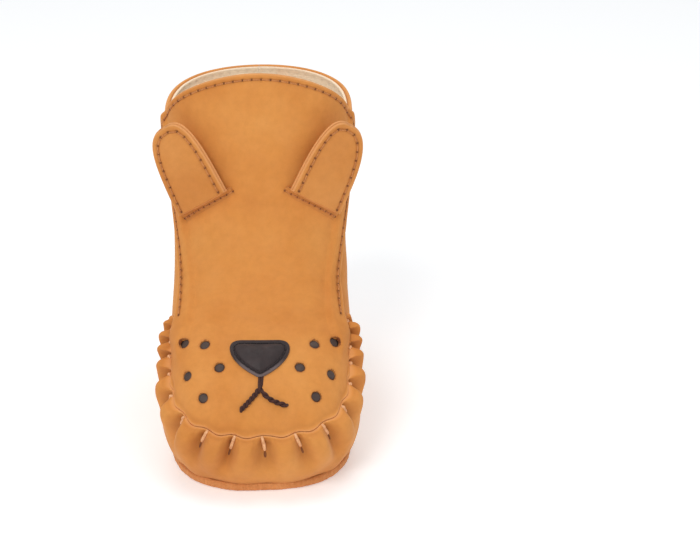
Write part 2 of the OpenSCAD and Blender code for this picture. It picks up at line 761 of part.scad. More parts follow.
EAR_FRONT_DEPTH = thin_leather + EAR_BODY_GAP;
EAR_STITCHES = 24;
EAR_ROW_START = 5;
module ear_stitches(side) {
    frame = ear_frame(side);
    lift = EAR_FRONT_DEPTH + thin_leather + thread / 2 + STITCH_CLEARANCE;
    function swing(k) = mix(EAR_ROW_START, 180 - EAR_ROW_START, k / EAR_STITCHES);
    function row(q) =
        let (
            r = (abs(cos(q)) ^ EAR_SQUARE + abs(sin(q)) ^ EAR_SQUARE) ^ (-1 / EAR_SQUARE),
            t = r * sin(q)
        )
        ear_point(
            frame,
            EAR_SHIFT * t + r * cos(q) * (ear_width / 2 - stitch_inset) * (1 - EAR_TAPER * t),
            EAR_START + t * (ear_length - EAR_START - stitch_inset),
            lift
        );
    for (k = [0 : EAR_STITCHES - 1])
        cord(
            [row(swing(k)), row(swing(k + STITCH_SHARE))],
            [frame[3], frame[3]],
            thread
        );
}

// The strip below each ear that the base seam goes through.
TAB_DEPTH = 3.2;
TAB_LEAN = 1.1;
TAB_RISE = 0.8;
TAB_END = 0.02;
TAB_TOP = 0.2;
TAB_LIFT = 2 * layer_gap;
function tab_spot(side, u, b) =
    let (s = mix(EAR_OUTER, EAR_INNER, mix(TAB_END, 1 - TAB_END, u)))
    [side * (s[0] + TAB_LEAN * b), s[1] + TAB_RISE * b];
module ear_tab(side) {
    color(TAN)
        sheet(
            10, 2,
            function (u, v) tab_spot(side, side > 0 ? 1 - u : u, mix(-TAB_DEPTH, -TAB_TOP, v)),
            function (u, v) [TAB_LIFT, TAB_LIFT + thin_leather]
        );
}

module ear_left_front() {
    color(TAN) ear_leaf(-1, EAR_FRONT_DEPTH);
}
module ear_left_back() {
    color(TAN) ear_leaf(-1, 0);
}
module ear_left_stitching() {
    color(OCHRE) ear_stitches(-1);
}
module ear_left_tab() {
    ear_tab(-1);
}
module ear_right_front() {
    color(TAN) ear_leaf(1, EAR_FRONT_DEPTH);
}
module ear_right_back() {
    color(TAN) ear_leaf(1, 0);
}
module ear_right_stitching() {
    color(OCHRE) ear_stitches(1);
}
module ear_right_tab() {
    ear_tab(1);
}

BASE_ROW_START = 0.05;
BASE_ROW_END = 0.97;
module ear_base_stitching() {
    count = round(ear_width / stitch_pitch);
    color(OCHRE)
        for (side = [-1, 1])
            stitch_row(
                count,
                function (t) tab_spot(side, mix(BASE_ROW_START, BASE_ROW_END, t), -TAB_DEPTH / 2),
                function (t) TAB_LIFT + thin_leather
            );
}

// ---- Rear closure ----

FLAP_TOP = collar_height - flap_drop;
TAPE_BACK = layer_gap;
HOOK_BACK = TAPE_BACK + tape + layer_gap;
FLAP_BACK = HOOK_BACK + tape + layer_gap;
CREASE_GAP = 0.4;
FLAP_CORNER = 5;
CORNER_LIMIT = 0.96;
FLAP_CROWDING = 0.9;

// A spot on the back of the shaft from its distance to the centre of the back and its height.
function back_spot(x, z) = [angle_at(x, z, -1), z];

// The flap's free corners are rounded: its height falls away towards the free edge.
function flap_span(x) =
    let (
        near = max(0, FLAP_CORNER - (x + flap_reach)) / FLAP_CORNER,
        cut = FLAP_CORNER * (1 - sqrt(1 - min(CORNER_LIMIT, near ^ 2)))
    )
    [flap_low + cut, FLAP_TOP - cut];
// The flap climbs from the crease over the tapes.
function flap_depth(x) =
    mix(layer_gap, FLAP_BACK, ease(0, crease_x - 1, crease_x - x));

function flap_x(u) = mix(crease_x - CREASE_GAP, -flap_reach, u ^ FLAP_CROWDING);
module closure_flap() {
    color(TAN)
        sheet(
            12, 11,
            function (u, v)
                let (x = flap_x(u), s = flap_span(x))
                back_spot(x, mix(s[0], s[1], v)),
            function (u, v)
                let (d = flap_depth(flap_x(u))) [d, d + leather]
        );
}

module flap_sewn_edge() {
    color(TAN)
        sheet(
            4, 12,
            function (u, v) back_spot(mix(crease_x + sewn_width, crease_x, u), mix(flap_low, FLAP_TOP, v)),
            function (u, v) [layer_gap, layer_gap + leather]
        );
}

module flap_stitching() {
    count = round((FLAP_TOP - flap_low - 2 * stitch_inset) / stitch_pitch);
    color(OCHRE)
        stitch_row(
            count,
            function (t)
                back_spot(
                    crease_x + sewn_width - stitch_inset,
                    mix(flap_low + stitch_inset, FLAP_TOP - stitch_inset, t)
                ),
            function (t) layer_gap + leather
        );
}

// Row round the flap's three free edges.
FLAP_ROW_END = 2;
function flap_row(t) =
    let (
        wide = crease_x - FLAP_ROW_END + flap_reach - stitch_inset,
        tall = FLAP_TOP - flap_low - 2 * stitch_inset,
        way = t * (2 * wide + tall),
        left = -flap_reach + stitch_inset,
        x = way < wide ? left + wide - way : way < wide + tall ? left : left + way - wide - tall,
        climb = clamp01((way - wide) / tall),
        s = flap_span(x)
    )
    [x, mix(s[0] + stitch_inset, s[1] - stitch_inset, climb)];
module flap_edge_stitching() {
    length = 2 * (crease_x + flap_reach) + FLAP_TOP - flap_low;
    count = round(length / stitch_pitch);
    color(OCHRE)
        stitch_row(
            count,
            function (t) let (p = flap_row(t)) back_spot(p[0], p[1]),
            function (t) flap_depth(flap_row(t)[0]) + leather
        );
}

TAPE_MARGIN = 1.6;
module tape_strip(back) {
    left = -flap_reach + TAPE_MARGIN;
    sheet(
        4, 10,
        function (u, v)
            back_spot(mix(left + tape_w, left, u), mix(flap_low + FLAP_CORNER, FLAP_TOP - FLAP_CORNER, v)),
        function (u, v) [back, back + tape]
    );
}
module hook_tape() {
    color(OCHRE) tape_strip(HOOK_BACK);
}
module loop_tape() {
    color(CREAM) tape_strip(TAPE_BACK);
}

outsole();
foam_insole();
sock_liner();
toe_wrap();
gather_lacing();
face_panel();
muzzle_underlay();
nose_patch();
nose_stitching();
mouth_embroidery();
panel_stitching();
quarter_left();
quarter_right();
rear_rim_stitching();
back_seam_stitching();
lining_front();
lining_left();
lining_right();
ear_left_front();
ear_left_back();
ear_left_stitching();
ear_left_tab();
ear_right_front();
ear_right_back();
ear_right_stitching();
ear_right_tab();
ear_base_stitching();
closure_flap();
flap_sewn_edge();
flap_stitching();
flap_edge_stitching();
hook_tape();
loop_tape();
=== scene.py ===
"""A soft leather baby bootie with an animal face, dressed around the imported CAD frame.

Shapes are worked out in millimetres on one smooth body, the last, and turned into metres when a mesh is made.
A place on the last is an angle (0 at the toe, 90 at the +X side, 180 at the heel), a height and a depth
measured outwards along the surface's normal from the outer face of the quarters.
"""
import math

import bpy
import numpy as np
from mathutils import Matrix, Vector
from mathutils.kdtree import KDTree


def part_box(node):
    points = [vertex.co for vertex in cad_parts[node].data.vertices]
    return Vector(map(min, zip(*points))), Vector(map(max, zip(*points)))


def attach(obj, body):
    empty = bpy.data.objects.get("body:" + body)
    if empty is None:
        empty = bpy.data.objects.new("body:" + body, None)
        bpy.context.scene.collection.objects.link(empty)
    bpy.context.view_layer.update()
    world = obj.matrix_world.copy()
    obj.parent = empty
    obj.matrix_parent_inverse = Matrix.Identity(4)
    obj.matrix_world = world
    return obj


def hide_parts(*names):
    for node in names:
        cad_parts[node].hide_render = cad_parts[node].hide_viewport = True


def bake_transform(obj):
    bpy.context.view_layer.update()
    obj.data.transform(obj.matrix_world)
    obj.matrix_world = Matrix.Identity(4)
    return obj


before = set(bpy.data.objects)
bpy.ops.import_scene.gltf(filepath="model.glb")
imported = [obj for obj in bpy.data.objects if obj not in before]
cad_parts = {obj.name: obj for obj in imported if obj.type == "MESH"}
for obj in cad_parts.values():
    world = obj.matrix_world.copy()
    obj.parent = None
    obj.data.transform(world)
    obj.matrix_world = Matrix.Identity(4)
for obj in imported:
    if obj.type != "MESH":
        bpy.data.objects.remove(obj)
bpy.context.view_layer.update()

MM = 0.001
DEGREES_PER_RADIAN = 57.3
BOOTIE, LEFT_EAR, RIGHT_EAR, FLAP = "bootie", "left_ear", "right_ear", "flap"

# ---- sizes, in millimetres ----
FOOT_LENGTH = 116.0
FOOT_WIDTH = 60.0
SHAFT_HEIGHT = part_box("face_panel")[1].z / MM
COLLAR_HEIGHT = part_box("quarter_left")[1].z / MM
SIDE_HEIGHT = 95.0
LEATHER = 1.3
THIN_LEATHER = 1.0
LAYER_GAP = 0.15
UNDERLAY = 0.6
LINING = 1.0
SOLE = 3.0
TOE_SEAM = 20.0
SIDE_SEAM = 43.5
SEAM_OVERLAP = 5.0
STITCH_INSET = 1.9
STITCH_PITCH = 3.0
PANEL_RAISE = LEATHER + LAYER_GAP

# Level sections of the last: height share, then front, back, widest point, half width and squareness.
SECTIONS = np.array([
    (0.000, -0.446, 0.474, -0.172, 0.456, 2.45),
    (0.025, -0.459, 0.483, -0.172, 0.475, 2.50),
    (0.085, -0.484, 0.496, -0.172, 0.495, 2.66),
    (0.153, -0.480, 0.500, -0.164, 0.500, 2.86),
    (0.212, -0.454, 0.498, -0.147, 0.497, 3.00),
    (0.284, -0.398, 0.491, -0.103, 0.490, 2.95),
    (0.356, -0.299, 0.483, -0.043, 0.480, 2.75),
    (0.411, -0.191, 0.476, 0.034, 0.473, 2.50),
    (0.475, -0.083, 0.472, 0.121, 0.472, 2.40),
    (0.551, -0.018, 0.470, 0.190, 0.480, 2.40),
    (0.695, 0.021, 0.474, 0.233, 0.503, 2.45),
    (0.847, 0.042, 0.478, 0.250, 0.527, 2.50),
    (1.050, 0.060, 0.483, 0.259, 0.540, 2.50),
])


# ---- the last ----
def section_slopes():
    steps = np.diff(SECTIONS[:, 1:], axis=0) / np.diff(SECTIONS[:, 0])[:, None]
    spans = np.diff(SECTIONS[:, 0])[:, None]
    slopes = np.empty_like(SECTIONS[:, 1:])
    slopes[0], slopes[-1] = steps[0], steps[-1]
    slopes[1:-1] = (steps[:-1] * spans[1:] + steps[1:] * spans[:-1]) / (spans[1:] + spans[:-1])
    return slopes


SLOPES = section_slopes()


def section(z):
    """Front, back, widest point, half width and squareness at height z."""
    share = np.asarray(z, float) / SHAFT_HEIGHT
    k = np.clip(np.searchsorted(SECTIONS[:, 0], share, side="right") - 1, 0, len(SECTIONS) - 2)
    span = (SECTIONS[k + 1, 0] - SECTIONS[k, 0])[..., None]
    t = ((share - SECTIONS[k, 0])[..., None]) / span
    s = (
        SECTIONS[k, 1:] * (2 * t**3 - 3 * t**2 + 1)
        + SECTIONS[k + 1, 1:] * (3 * t**2 - 2 * t**3)
        + (SLOPES[k] * (t**3 - 2 * t**2 + t) + SLOPES[k + 1] * (t**3 - t**2)) * span
    )
    scale = np.array([FOOT_LENGTH, FOOT_LENGTH, FOOT_LENGTH, FOOT_WIDTH, 1.0])
    return np.moveaxis(s * scale, -1, 0)


def last_point(angle, z):
    """The place on the last at an angle and a height."""
    angle, z = np.broadcast_arrays(np.asarray(angle, float), np.asarray(z, float))
    front, back, widest, half, square = section(z)
    across, along = np.sin(np.radians(angle)), np.cos(np.radians(angle))
    r = (np.abs(across) ** square + np.abs(along) ** square) ** (-1 / square)
    y = widest - np.where(along > 0, widest - front, back - widest) * r * along
    return np.stack([half * r * across, y, z], -1)


def last_normal(angle, z):
    du = last_point(np.asarray(angle) + 0.1, z) - last_point(np.asarray(angle) - 0.1, z)
    dv = last_point(angle, np.asarray(z) + 0.1) - last_point(angle, np.asarray(z) - 0.1)
    return unit(np.cross(du, dv))


def ease(low, high, value):
    t = np.clip((np.asarray(value, float) - low) / (high - low), 0, 1)
    return t * t * (3 - 2 * t)


def bell(x, width):
    """1 where x is 0, falling to nothing at about twice the width."""
    return np.exp(-((x / width) ** 2))


def unit(vectors):
    return vectors / np.linalg.norm(vectors, axis=-1, keepdims=True)


def wobble(angle, z):
    """Soft handling waves in the leather, shared by every layer so that they stay nested."""
    a, z = np.radians(angle), np.asarray(z, float)
    grow = ease(6, 22, z)
    broad = 0.30 * np.sin(2 * a + z / 11.0) + 0.22 * np.sin(3 * a - z / 7.5 + 1.2)
    ankle = 0.55 * bell(z - 52, 5) * np.sin(5 * a + 0.6) * ease(35, 60, np.abs(angle))
    return grow * (broad + ankle) * 0.8


def lifted(angle, z, depth):
    """A place at a depth off the last, along its normal."""
    angle, z, depth = np.broadcast_arrays(*(np.asarray(v, float) for v in (angle, z, depth)))
    return last_point(angle, z) + last_normal(angle, z) * (depth + wobble(angle, z))[..., None]


def angle_at(x, z, side=1):
    """The angle at which the front (side 1) or the back (side -1) of the last reaches X."""
    _, _, _, half, square = section(z)
    q = np.minimum(0.999, (np.abs(x) / half) ** square)
    a = np.degrees(np.arctan((q / (1 - q)) ** (1 / square)))
    return np.where(np.asarray(x) < 0, -1, 1) * (a if side > 0 else 180 - a)


def degrees_for(mm, z):
    return mm / section(z)[3] * DEGREES_PER_RADIAN


# ---- seams and edges ----
SEAM_ANGLE, SEAM_SQUARE, SEAM_RISE = 66.0, 4.0, 5.0
EDGE_ANGLE, TOP_EDGE_ANGLE = 60.0, 80.0
MM_PER_DEGREE = FOOT_WIDTH / 2 / DEGREES_PER_RADIAN


def seam_spot(tau):
    """Angle and height of the gathered seam, from -90 to 90 round the toe."""
    t = np.radians(np.asarray(tau, float))
    r = (np.abs(np.sin(t)) ** SEAM_SQUARE + np.abs(np.cos(t)) ** SEAM_SQUARE) ** (-1 / SEAM_SQUARE)
    a = r * np.sin(t)
    rise = (SIDE_SEAM - TOE_SEAM - SEAM_RISE) * (1 - r * np.cos(t))
    return np.stack([SEAM_ANGLE * a, TOE_SEAM + SEAM_RISE * a**2 + rise], -1)


def seam_away(tau):
    """One millimetre away from the seam on the wrap's side, as (degrees, mm)."""
    step = seam_spot(np.asarray(tau) + 1) - seam_spot(np.asarray(tau) - 1)
    step = unit(step * np.array([MM_PER_DEGREE, 1.0]))
    return np.stack([step[..., 1] / MM_PER_DEGREE, -step[..., 0]], -1)


def panel_edge(z):
    """The angle at which the face panel ends at a height."""
    out = (TOP_EDGE_ANGLE - EDGE_ANGLE) * ease(SIDE_SEAM, SIDE_HEIGHT + 6, z)
    foot = (SEAM_ANGLE - EDGE_ANGLE) * (1 - ease(SIDE_SEAM - 6, SIDE_SEAM + 2, z))
    return EDGE_ANGLE + out + foot


def front_top(u):
    """Height of the face panel's rounded top, for u from -1 to 1 across it."""
    return SHAFT_HEIGHT - (SHAFT_HEIGHT - SIDE_HEIGHT) * np.asarray(u) ** 2


def rear_top(angle):
    share = (180 - np.abs(angle)) / (180 - TOP_EDGE_ANGLE)
    return COLLAR_HEIGHT - (COLLAR_HEIGHT - SIDE_HEIGHT) * share**2


def side_to_tau(side):
    """The place along the seam that lies at a share of the panel's width."""
    a = np.minimum(0.9995, np.abs(side))
    return np.sign(side) * np.degrees(np.arctan(a / (1 - a**SEAM_SQUARE) ** (1 / SEAM_SQUARE)))


def face_z(share):
    """Height of a place on the muzzle, from 0 at the seam's lowest point to 1 at its highest."""
    return TOE_SEAM + (SIDE_SEAM - TOE_SEAM) * np.asarray(share, float)


# ---- colours and materials ----
def srgb(r, g, b):
    def linear(c):
        c = c / 255
        return c / 12.92 if c <= 0.04045 else ((c + 0.055) / 1.055) ** 2.4

    return (linear(r), linear(g), linear(b), 1.0)


class Shader:
    """A material with a Principled BSDF, and short calls for the nodes that feed it."""

    def __init__(self, name, roughness, **sockets):
        self.material = bpy.data.materials.new(name)
        self.material.use_nodes = True
        self.tree = self.material.node_tree
        self.bsdf = self.tree.nodes["Principled BSDF"]
        self.bsdf.inputs["Roughness"].default_value = roughness
        for socket, value in sockets.items():
            self.bsdf.inputs[socket.replace("_", " ")].default_value = value
        self.coords = self.tree.nodes.new("ShaderNodeTexCoord").outputs["Object"]

    def link(self, a, b):
        self.tree.links.new(a, b)

    def feed(self, sockets, values):
        """Sets each socket to a constant or links it to an output."""
        for socket, value in zip(sockets, values):
            if isinstance(value, (float, int, tuple)):
                socket.default_value = value
            else:
                self.link(value, socket)

    def texture(self, kind, scale, source=None):
        node = self.tree.nodes.new("ShaderNodeTex" + kind)
        node.inputs["Scale"].default_value = scale
        self.link(source or self.coords, node.inputs["Vector"])
        return node

    def noise(self, scale, detail=3.0, roughness=0.5, stretch=None):
        source = None
        if stretch:
            mapping = self.tree.nodes.new("ShaderNodeMapping")
            mapping.inputs["Scale"].default_value = stretch
            self.link(self.coords, mapping.inputs["Vector"])
            source = mapping.outputs["Vector"]
        node = self.texture("Noise", scale, source)
        node.inputs["Detail"].default_value = detail
        node.inputs["Roughness"].default_value = roughness
        return node.outputs["Fac"]

    def cells(self, scale, feature="F1"):
        node = self.texture("Voronoi", scale)
        node.feature = feature
        return node.outputs["Distance"]

    def waves(self, scale, direction):
        node = self.texture("Wave", scale)
        node.bands_direction = direction
        node.inputs["Distortion"].default_value = 0.5
        return node.outputs["Fac"]

    def attribute(self, name):
        node = self.tree.nodes.new("ShaderNodeAttribute")
        node.attribute_name = name
        return node.outputs["Fac"]

    def ramp(self, fac, *stops):
        node = self.tree.nodes.new("ShaderNodeValToRGB")
        elements = node.color_ramp.elements
        while len(elements) < len(stops):
            elements.new(0.5)
        for element, (place, colour) in zip(elements, stops):
            element.position = place
            element.color = colour
        self.link(fac, node.inputs["Fac"])
        return node.outputs["Color"]

    def mix(self, fac, a, b, mode="MIX"):
        node = self.tree.nodes.new("ShaderNodeMix")
        node.data_type = "RGBA"
        node.blend_type = mode
        self.feed([s for s in node.inputs if s.enabled], (fac, a, b))
        return [s for s in node.outputs if s.enabled][0]

    def math(self, operation, a, b):
        node = self.tree.nodes.new("ShaderNodeMath")
        node.operation = operation
        self.feed(node.inputs, (a, b))
        return node.outputs["Value"]

    def map_range(self, value, low, high, to_low, to_high):
        node = self.tree.nodes.new("ShaderNodeMapRange")
        for socket, number in zip(list(node.inputs)[1:5], (low, high, to_low, to_high)):
            socket.default_value = number
        self.link(value, node.inputs["Value"])
        return node.outputs["Result"]

    def bump(self, *layers):
        """Layers of (height output, strength, distance in metres), from the broadest to the finest."""
        normal = None
        for height, strength, distance in layers:
            node = self.tree.nodes.new("ShaderNodeBump")
            node.inputs["Strength"].default_value = strength
            node.inputs["Distance"].default_value = distance
            self.link(height, node.inputs["Height"])
            if normal is not None:
                self.link(normal, node.inputs["Normal"])
            normal = node.outputs["Normal"]
        self.link(normal, self.bsdf.inputs["Normal"])

    def colour(self, output):
        self.link(output, self.bsdf.inputs["Base Color"])

    def rough(self, output):
        self.link(output, self.bsdf.inputs["Roughness"])


CREASE_SHADE = srgb(112, 52, 20)
CUT_EDGE_AND_HIGHLIGHT = srgb(238, 176, 118)


def nubuck(name, base, shade, light):
    """Matt buffed leather: broad drifts, fine mottling and pores, with painted crease shade, pale cut edges
    and painted highlights by tone.
    """
    s = Shader(name, 0.8, Sheen_Weight=0.22, Sheen_Roughness=0.45, Sheen_Tint=srgb(255, 214, 170), IOR=1.4)
    drift = s.ramp(s.noise(34, 4, 0.55), (0.28, shade), (0.52, base), (0.78, light))
    mottle = s.ramp(s.noise(420, 5, 0.65), (0.30, (0.86, 0.83, 0.80, 1)), (0.62, (1.03, 1.03, 1.03, 1)))
    pores = s.ramp(s.cells(1500), (0.05, (0.80, 0.76, 0.72, 1)), (0.30, (1, 1, 1, 1)))
    scuffs = s.ramp(s.noise(90, 6, 0.7, (1, 1, 3.5)), (0.62, (0, 0, 0, 1)), (0.80, (1, 1, 1, 1)))
    colour = s.mix(0.42, drift, mottle, "MULTIPLY")
    colour = s.mix(0.18, colour, pores, "MULTIPLY")
    colour = s.mix(s.math("MULTIPLY", scuffs, 0.22), colour, shade)
    tone = s.attribute("tone")
    # Tone below 0.5 paints shade in creases, valleys, stitch grooves and hole rims; above 0.5 it paints pale
    # cut edges and painted highlights.
    colour = s.mix(s.map_range(tone, 0.5, 0.0, 0.0, 0.92), colour, CREASE_SHADE)
    colour = s.mix(s.map_range(tone, 0.5, 1.0, 0.0, 0.75), colour, CUT_EDGE_AND_HIGHLIGHT)
    s.colour(colour)
    s.rough(s.map_range(s.noise(160, 4), 0.3, 0.7, 0.72, 0.90))
    s.bump(
        (s.noise(120, 4, 0.6), 0.18, 0.0006),
        (s.noise(900, 4, 0.6), 0.20, 0.00015),
        (s.noise(3200, 3, 0.6), 0.26, 0.00008),
    )
    return s.material


def dark_leather(name, base, light):
    s = Shader(name, 0.55, Sheen_Weight=0.12, Sheen_Roughness=0.5, IOR=1.42)
    colour = s.ramp(s.noise(300, 5, 0.6), (0.3, base), (0.75, light))
    tone = s.attribute("tone")
    # Tone above 0.5 paints a highlight on the dark leather (the nose's lower bevel).
    s.colour(s.mix(s.map_range(tone, 0.5, 1.0, 0.0, 1.0), colour, srgb(112, 98, 98)))
    s.rough(s.map_range(s.noise(500, 4), 0.3, 0.7, 0.48, 0.68))
    s.bump((s.cells(1300, "SMOOTH_F1"), 0.22, 0.0002), (s.noise(2600, 3), 0.25, 0.00008))
    return s.material


def cotton(name, base, shade):
    """Brushed cotton: a fine woven ground under a soft nap."""
    s = Shader(name, 0.95, Sheen_Weight=0.5, Sheen_Roughness=0.6, Sheen_Tint=srgb(255, 244, 230), IOR=1.4)
    weave = s.math("MULTIPLY", s.waves(420, "Z"), s.waves(420, "DIAGONAL"))
    nap = s.noise(1400, 5, 0.7)
    colour = s.ramp(s.noise(60, 4), (0.3, shade), (0.6, base))
    flecks = s.ramp(nap, (0.35, (0.96, 0.94, 0.91, 1)), (0.65, (1.06, 1.04, 1.02, 1)))
    colour = s.mix(0.7, colour, flecks, "MULTIPLY")
    tone = s.attribute("tone")
    # Tone below 0.5 paints shade in the stitch grooves.
    s.colour(s.mix(s.map_range(tone, 0.5, 0.0, 0.0, 0.85), colour, srgb(150, 112, 82)))
    s.bump((weave, 0.25, 0.00025), (nap, 0.55, 0.0004))
    return s.material


def suede(name, base, shade, light):
    s = Shader(name, 0.95, Sheen_Weight=0.35, Sheen_Roughness=0.6, Sheen_Tint=srgb(255, 200, 150), IOR=1.4)
    fibres = s.noise(1100, 6, 0.75, (1, 1, 0.35))
    colour = s.ramp(s.noise(70, 5, 0.6), (0.3, shade), (0.7, base))
    flecks = s.ramp(fibres, (0.35, shade), (0.55, base), (0.75, light))
    s.colour(s.mix(0.5, colour, flecks))
    s.bump((s.noise(260, 5, 0.7), 0.5, 0.0005), (fibres, 0.7, 0.0004))
    return s.material


def thread(name, base, shade, gloss=0.6):
    s = Shader(name, gloss, Sheen_Weight=0.06, IOR=1.45)
    strands = s.noise(2600, 3, 0.5, (1, 1, 0.4))
    s.colour(s.ramp(strands, (0.35, shade), (0.65, base)))
    s.bump((strands, 0.5, 0.0001))
    return s.material


def tape_cloth(name, base, shade, cell):
    s = Shader(name, 0.8, Sheen_Weight=0.3, IOR=1.45)
    nap = s.cells(cell)
    s.colour(s.ramp(nap, (0.05, base), (0.6, shade)))
    s.bump((nap, 0.8, 0.0005), (s.noise(3000, 3), 0.4, 0.0001))
    return s.material


def foam(name):
    s = Shader(name, 0.9, IOR=1.4)
    s.colour(s.ramp(s.cells(900), (0.05, srgb(190, 182, 165)), (0.4, srgb(240, 234, 220))))
    s.bump((s.cells(900), 0.6, 0.0004))
    return s.material


TAN = nubuck("tan_nubuck", srgb(217, 143, 69), srgb(203, 126, 54), srgb(225, 155, 80))
EAR_TAN = nubuck("ear_nubuck", srgb(210, 138, 68), srgb(199, 125, 57), srgb(221, 152, 82))
DARK = dark_leather("dark_leather", srgb(38, 27, 28), srgb(54, 40, 40))
SPOT_DARK = dark_leather("spot_leather", srgb(58, 42, 38), srgb(86, 70, 62))
COTTON = cotton("cream_cotton", srgb(255, 236, 208), srgb(255, 225, 192))
SUEDE = suede("sole_suede", srgb(222, 148, 88), srgb(194, 116, 60), srgb(238, 176, 120))
SEAM_THREAD = thread("seam_thread", srgb(206, 136, 72), srgb(176, 108, 54))
HOLE_SHADE = thread("painted_hole_shade", srgb(134, 80, 42), srgb(108, 60, 28), 0.9)
NOSE_THREAD = thread("nose_thread", srgb(40, 28, 32), srgb(24, 16, 20))
MOUTH_THREAD = thread("mouth_yarn", srgb(76, 38, 28), srgb(48, 24, 20), 0.75)
LACE = thread("pale_lace", srgb(242, 188, 138), srgb(220, 156, 104), 0.5)
LOOPS = tape_cloth("loop_tape", srgb(206, 158, 104), srgb(160, 112, 66), 1500)
HOOKS = tape_cloth("hook_tape", srgb(186, 134, 80), srgb(128, 84, 46), 1000)
FOAM = foam("insole_foam")


# ---- mesh helpers ----
def make_mesh(name, verts_mm, faces, material, tone=None, sharp=None):
    mesh = bpy.data.meshes.new(name)
    mesh.from_pydata((np.asarray(verts_mm) * MM).tolist(), [], faces)
    mesh.validate()
    mesh.materials.append(material)
    values = np.full(len(mesh.vertices), 0.5, np.float32) if tone is None else np.asarray(tone, np.float32)
    mesh.attributes.new("tone", "FLOAT", "POINT").data.foreach_set("value", values)
    mesh.shade_smooth()
    if sharp:
        mesh.set_sharp_from_angle(angle=math.radians(sharp))
    obj = bpy.data.objects.new(name, mesh)
    bpy.context.scene.collection.objects.link(obj)
    return obj


def dress(obj, body, slot, *nodes):
    """Rides a body and stands for CAD nodes; slot is not used."""
    if body:
        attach(obj, body)
    if nodes:
        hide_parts(*nodes)
    return obj


def slab_faces(rows, cols):
    """Quads that close two grids of rows by cols points, the inner one first."""
    count, top = rows * cols, (rows - 1) * cols
    faces = []
    for j in range(rows - 1):
        for a in range(j * cols, (j + 1) * cols - 1):
            b, c, d = a + 1, a + cols + 1, a + cols
            faces.append((count + a, count + b, count + c, count + d))
            faces.append((d, c, b, a))
    for i in range(cols - 1):
        faces.append((i, i + 1, count + i + 1, count + i))
        faces.append((top + i + 1, top + i, count + top + i, count + top + i + 1))
    for a in range(0, top, cols):
        b = a + cols
        faces.append((b, a, count + a, count + b))
        a, b = b - 1, b + cols - 1
        faces.append((a, b, count + b, count + a))
    return faces


def make_slab(name, inner, outer, material, inner_tone=0.5, outer_tone=0.5):
    """A closed sheet between two grids of points."""
    rows, cols = inner.shape[:2]
    tones = [np.broadcast_to(tone, (rows, cols)).ravel() for tone in (inner_tone, outer_tone)]
    verts = np.concatenate([inner.reshape(-1, 3), outer.reshape(-1, 3)])
    return make_mesh(name, verts, slab_faces(rows, cols), material, np.clip(np.concatenate(tones), 0, 1))


def nearest(points, targets):
    """Distance from every point of a grid to the nearest target."""
    tree = KDTree(len(targets))
    for i, p in enumerate(targets):
        tree.insert(p, i)
    tree.balance()
    return np.array([tree.find(p)[2] for p in points.reshape(-1, 3)]).reshape(points.shape[:-1])


def edge_distance(points):
    """Distance of every point of a grid from the grid's border."""
    return nearest(points, np.concatenate([points[0], points[-1], points[:, 0], points[:, -1]]))


def rim(distance, radius):
    """How far a rounded edge falls below the sheet's face at a distance from the edge."""
    inside = np.clip(radius - distance, 0, radius)
    return radius - np.sqrt(radius**2 - inside**2)


def leather_sheet(name, angle, z, depth, thick, material, tone=None, edge=0.38, pale_edge=0.35):
    """A closed sheet on the last with rounded cut edges, given as grids of angle, height and outer depth."""
    distance = edge_distance(last_point(angle, z))
    soft = rim(distance, edge)
    outer = lifted(angle, z, depth - soft)
    inner = lifted(angle, z, depth - thick + 0.5 * soft)
    shade = np.full(angle.shape, 0.5) if tone is None else np.array(tone, float)
    shade = shade + pale_edge * (1 - ease(0.0, 0.7, distance))
    return make_slab(name, inner, outer, material, 0.62, shade)


def fine_ends(n, margin=0.012):
    """Shares from 0 to 1 with extra lines close to both ends, for the rounded edges."""
    near = np.array([0, 0.15, 0.4, 0.7]) * margin
    return np.concatenate([near, np.linspace(margin, 1 - margin, n), 1 - near[::-1]])


def grid(across, up):
    """Two grids from the values across the columns and the values up the rows."""
    return np.broadcast_arrays(np.asarray(across)[None, :], np.asarray(up)[:, None])


def ring_quads(rings, count):
    """Quads between neighbouring rings of count points each."""
    for k in range(rings - 1):
        for i in range(count):
            j = (i + 1) % count
            yield k * count + i, k * count + j, (k + 1) * count + j, (k + 1) * count + i


def tube(path, normals, width, height, sides=10, taper=None):
    """Vertices and faces of a closed tube with an oval section, steered by a normal at each point."""
    path, normals = np.asarray(path, float), np.asarray(normals, float)
    ahead = unit(np.gradient(path, axis=0))
    side = unit(np.cross(ahead, normals))
    up = np.cross(side, ahead)
    size = np.ones(len(path)) if taper is None else np.asarray(taper, float)
    a = np.arange(sides) * 2 * math.pi / sides
    ring = (
        np.cos(a)[None, :, None] * side[:, None] * (width / 2)
        + np.sin(a)[None, :, None] * up[:, None] * (height / 2)
    ) * size[:, None, None]
    verts = (path[:, None] + ring).reshape(-1, 3)
    faces = [quad[::-1] for quad in ring_quads(len(path), sides)]
    faces.append(tuple(range(sides)))
    faces.append(tuple((len(path) - 1) * sides + i for i in range(sides))[::-1])
    return verts, faces


def join_parts(parts):
    verts, faces, base = [], [], 0
    for v, f in parts:
        verts.append(v)
        faces.extend(tuple(i + base for i in face) for face in f)
        base += len(v)
    return np.concatenate(verts), faces


def make_parts(name, parts, material, body, slot, *nodes):
    return dress(make_mesh(name, *join_parts(parts), material), body, slot, *nodes)


def travel(points):
    """Distance travelled at each point of a line."""
    return np.concatenate([[0], np.cumsum(np.linalg.norm(np.diff(points, axis=0), axis=1))])


def even_steps(length, pitch):
    """Distances about a pitch apart that end on the line's last point."""
    return np.linspace(0, length[-1], max(2, int(round(length[-1] / pitch)) + 1))


def resample(points, pitch):
    length = travel(points)
    at = even_steps(length, pitch)
    return np.stack([np.interp(at, length, points[:, k]) for k in range(points.shape[1])], 1)


THREAD_D, NOSE_THREAD_D = 0.55, 0.45
STITCH_SINK = 0.40
GROOVE_WIDTH, DIMPLE_WIDTH = 0.8, 0.55
HOLE_LENGTH, HOLE_WIDTH = 1.06, 0.60


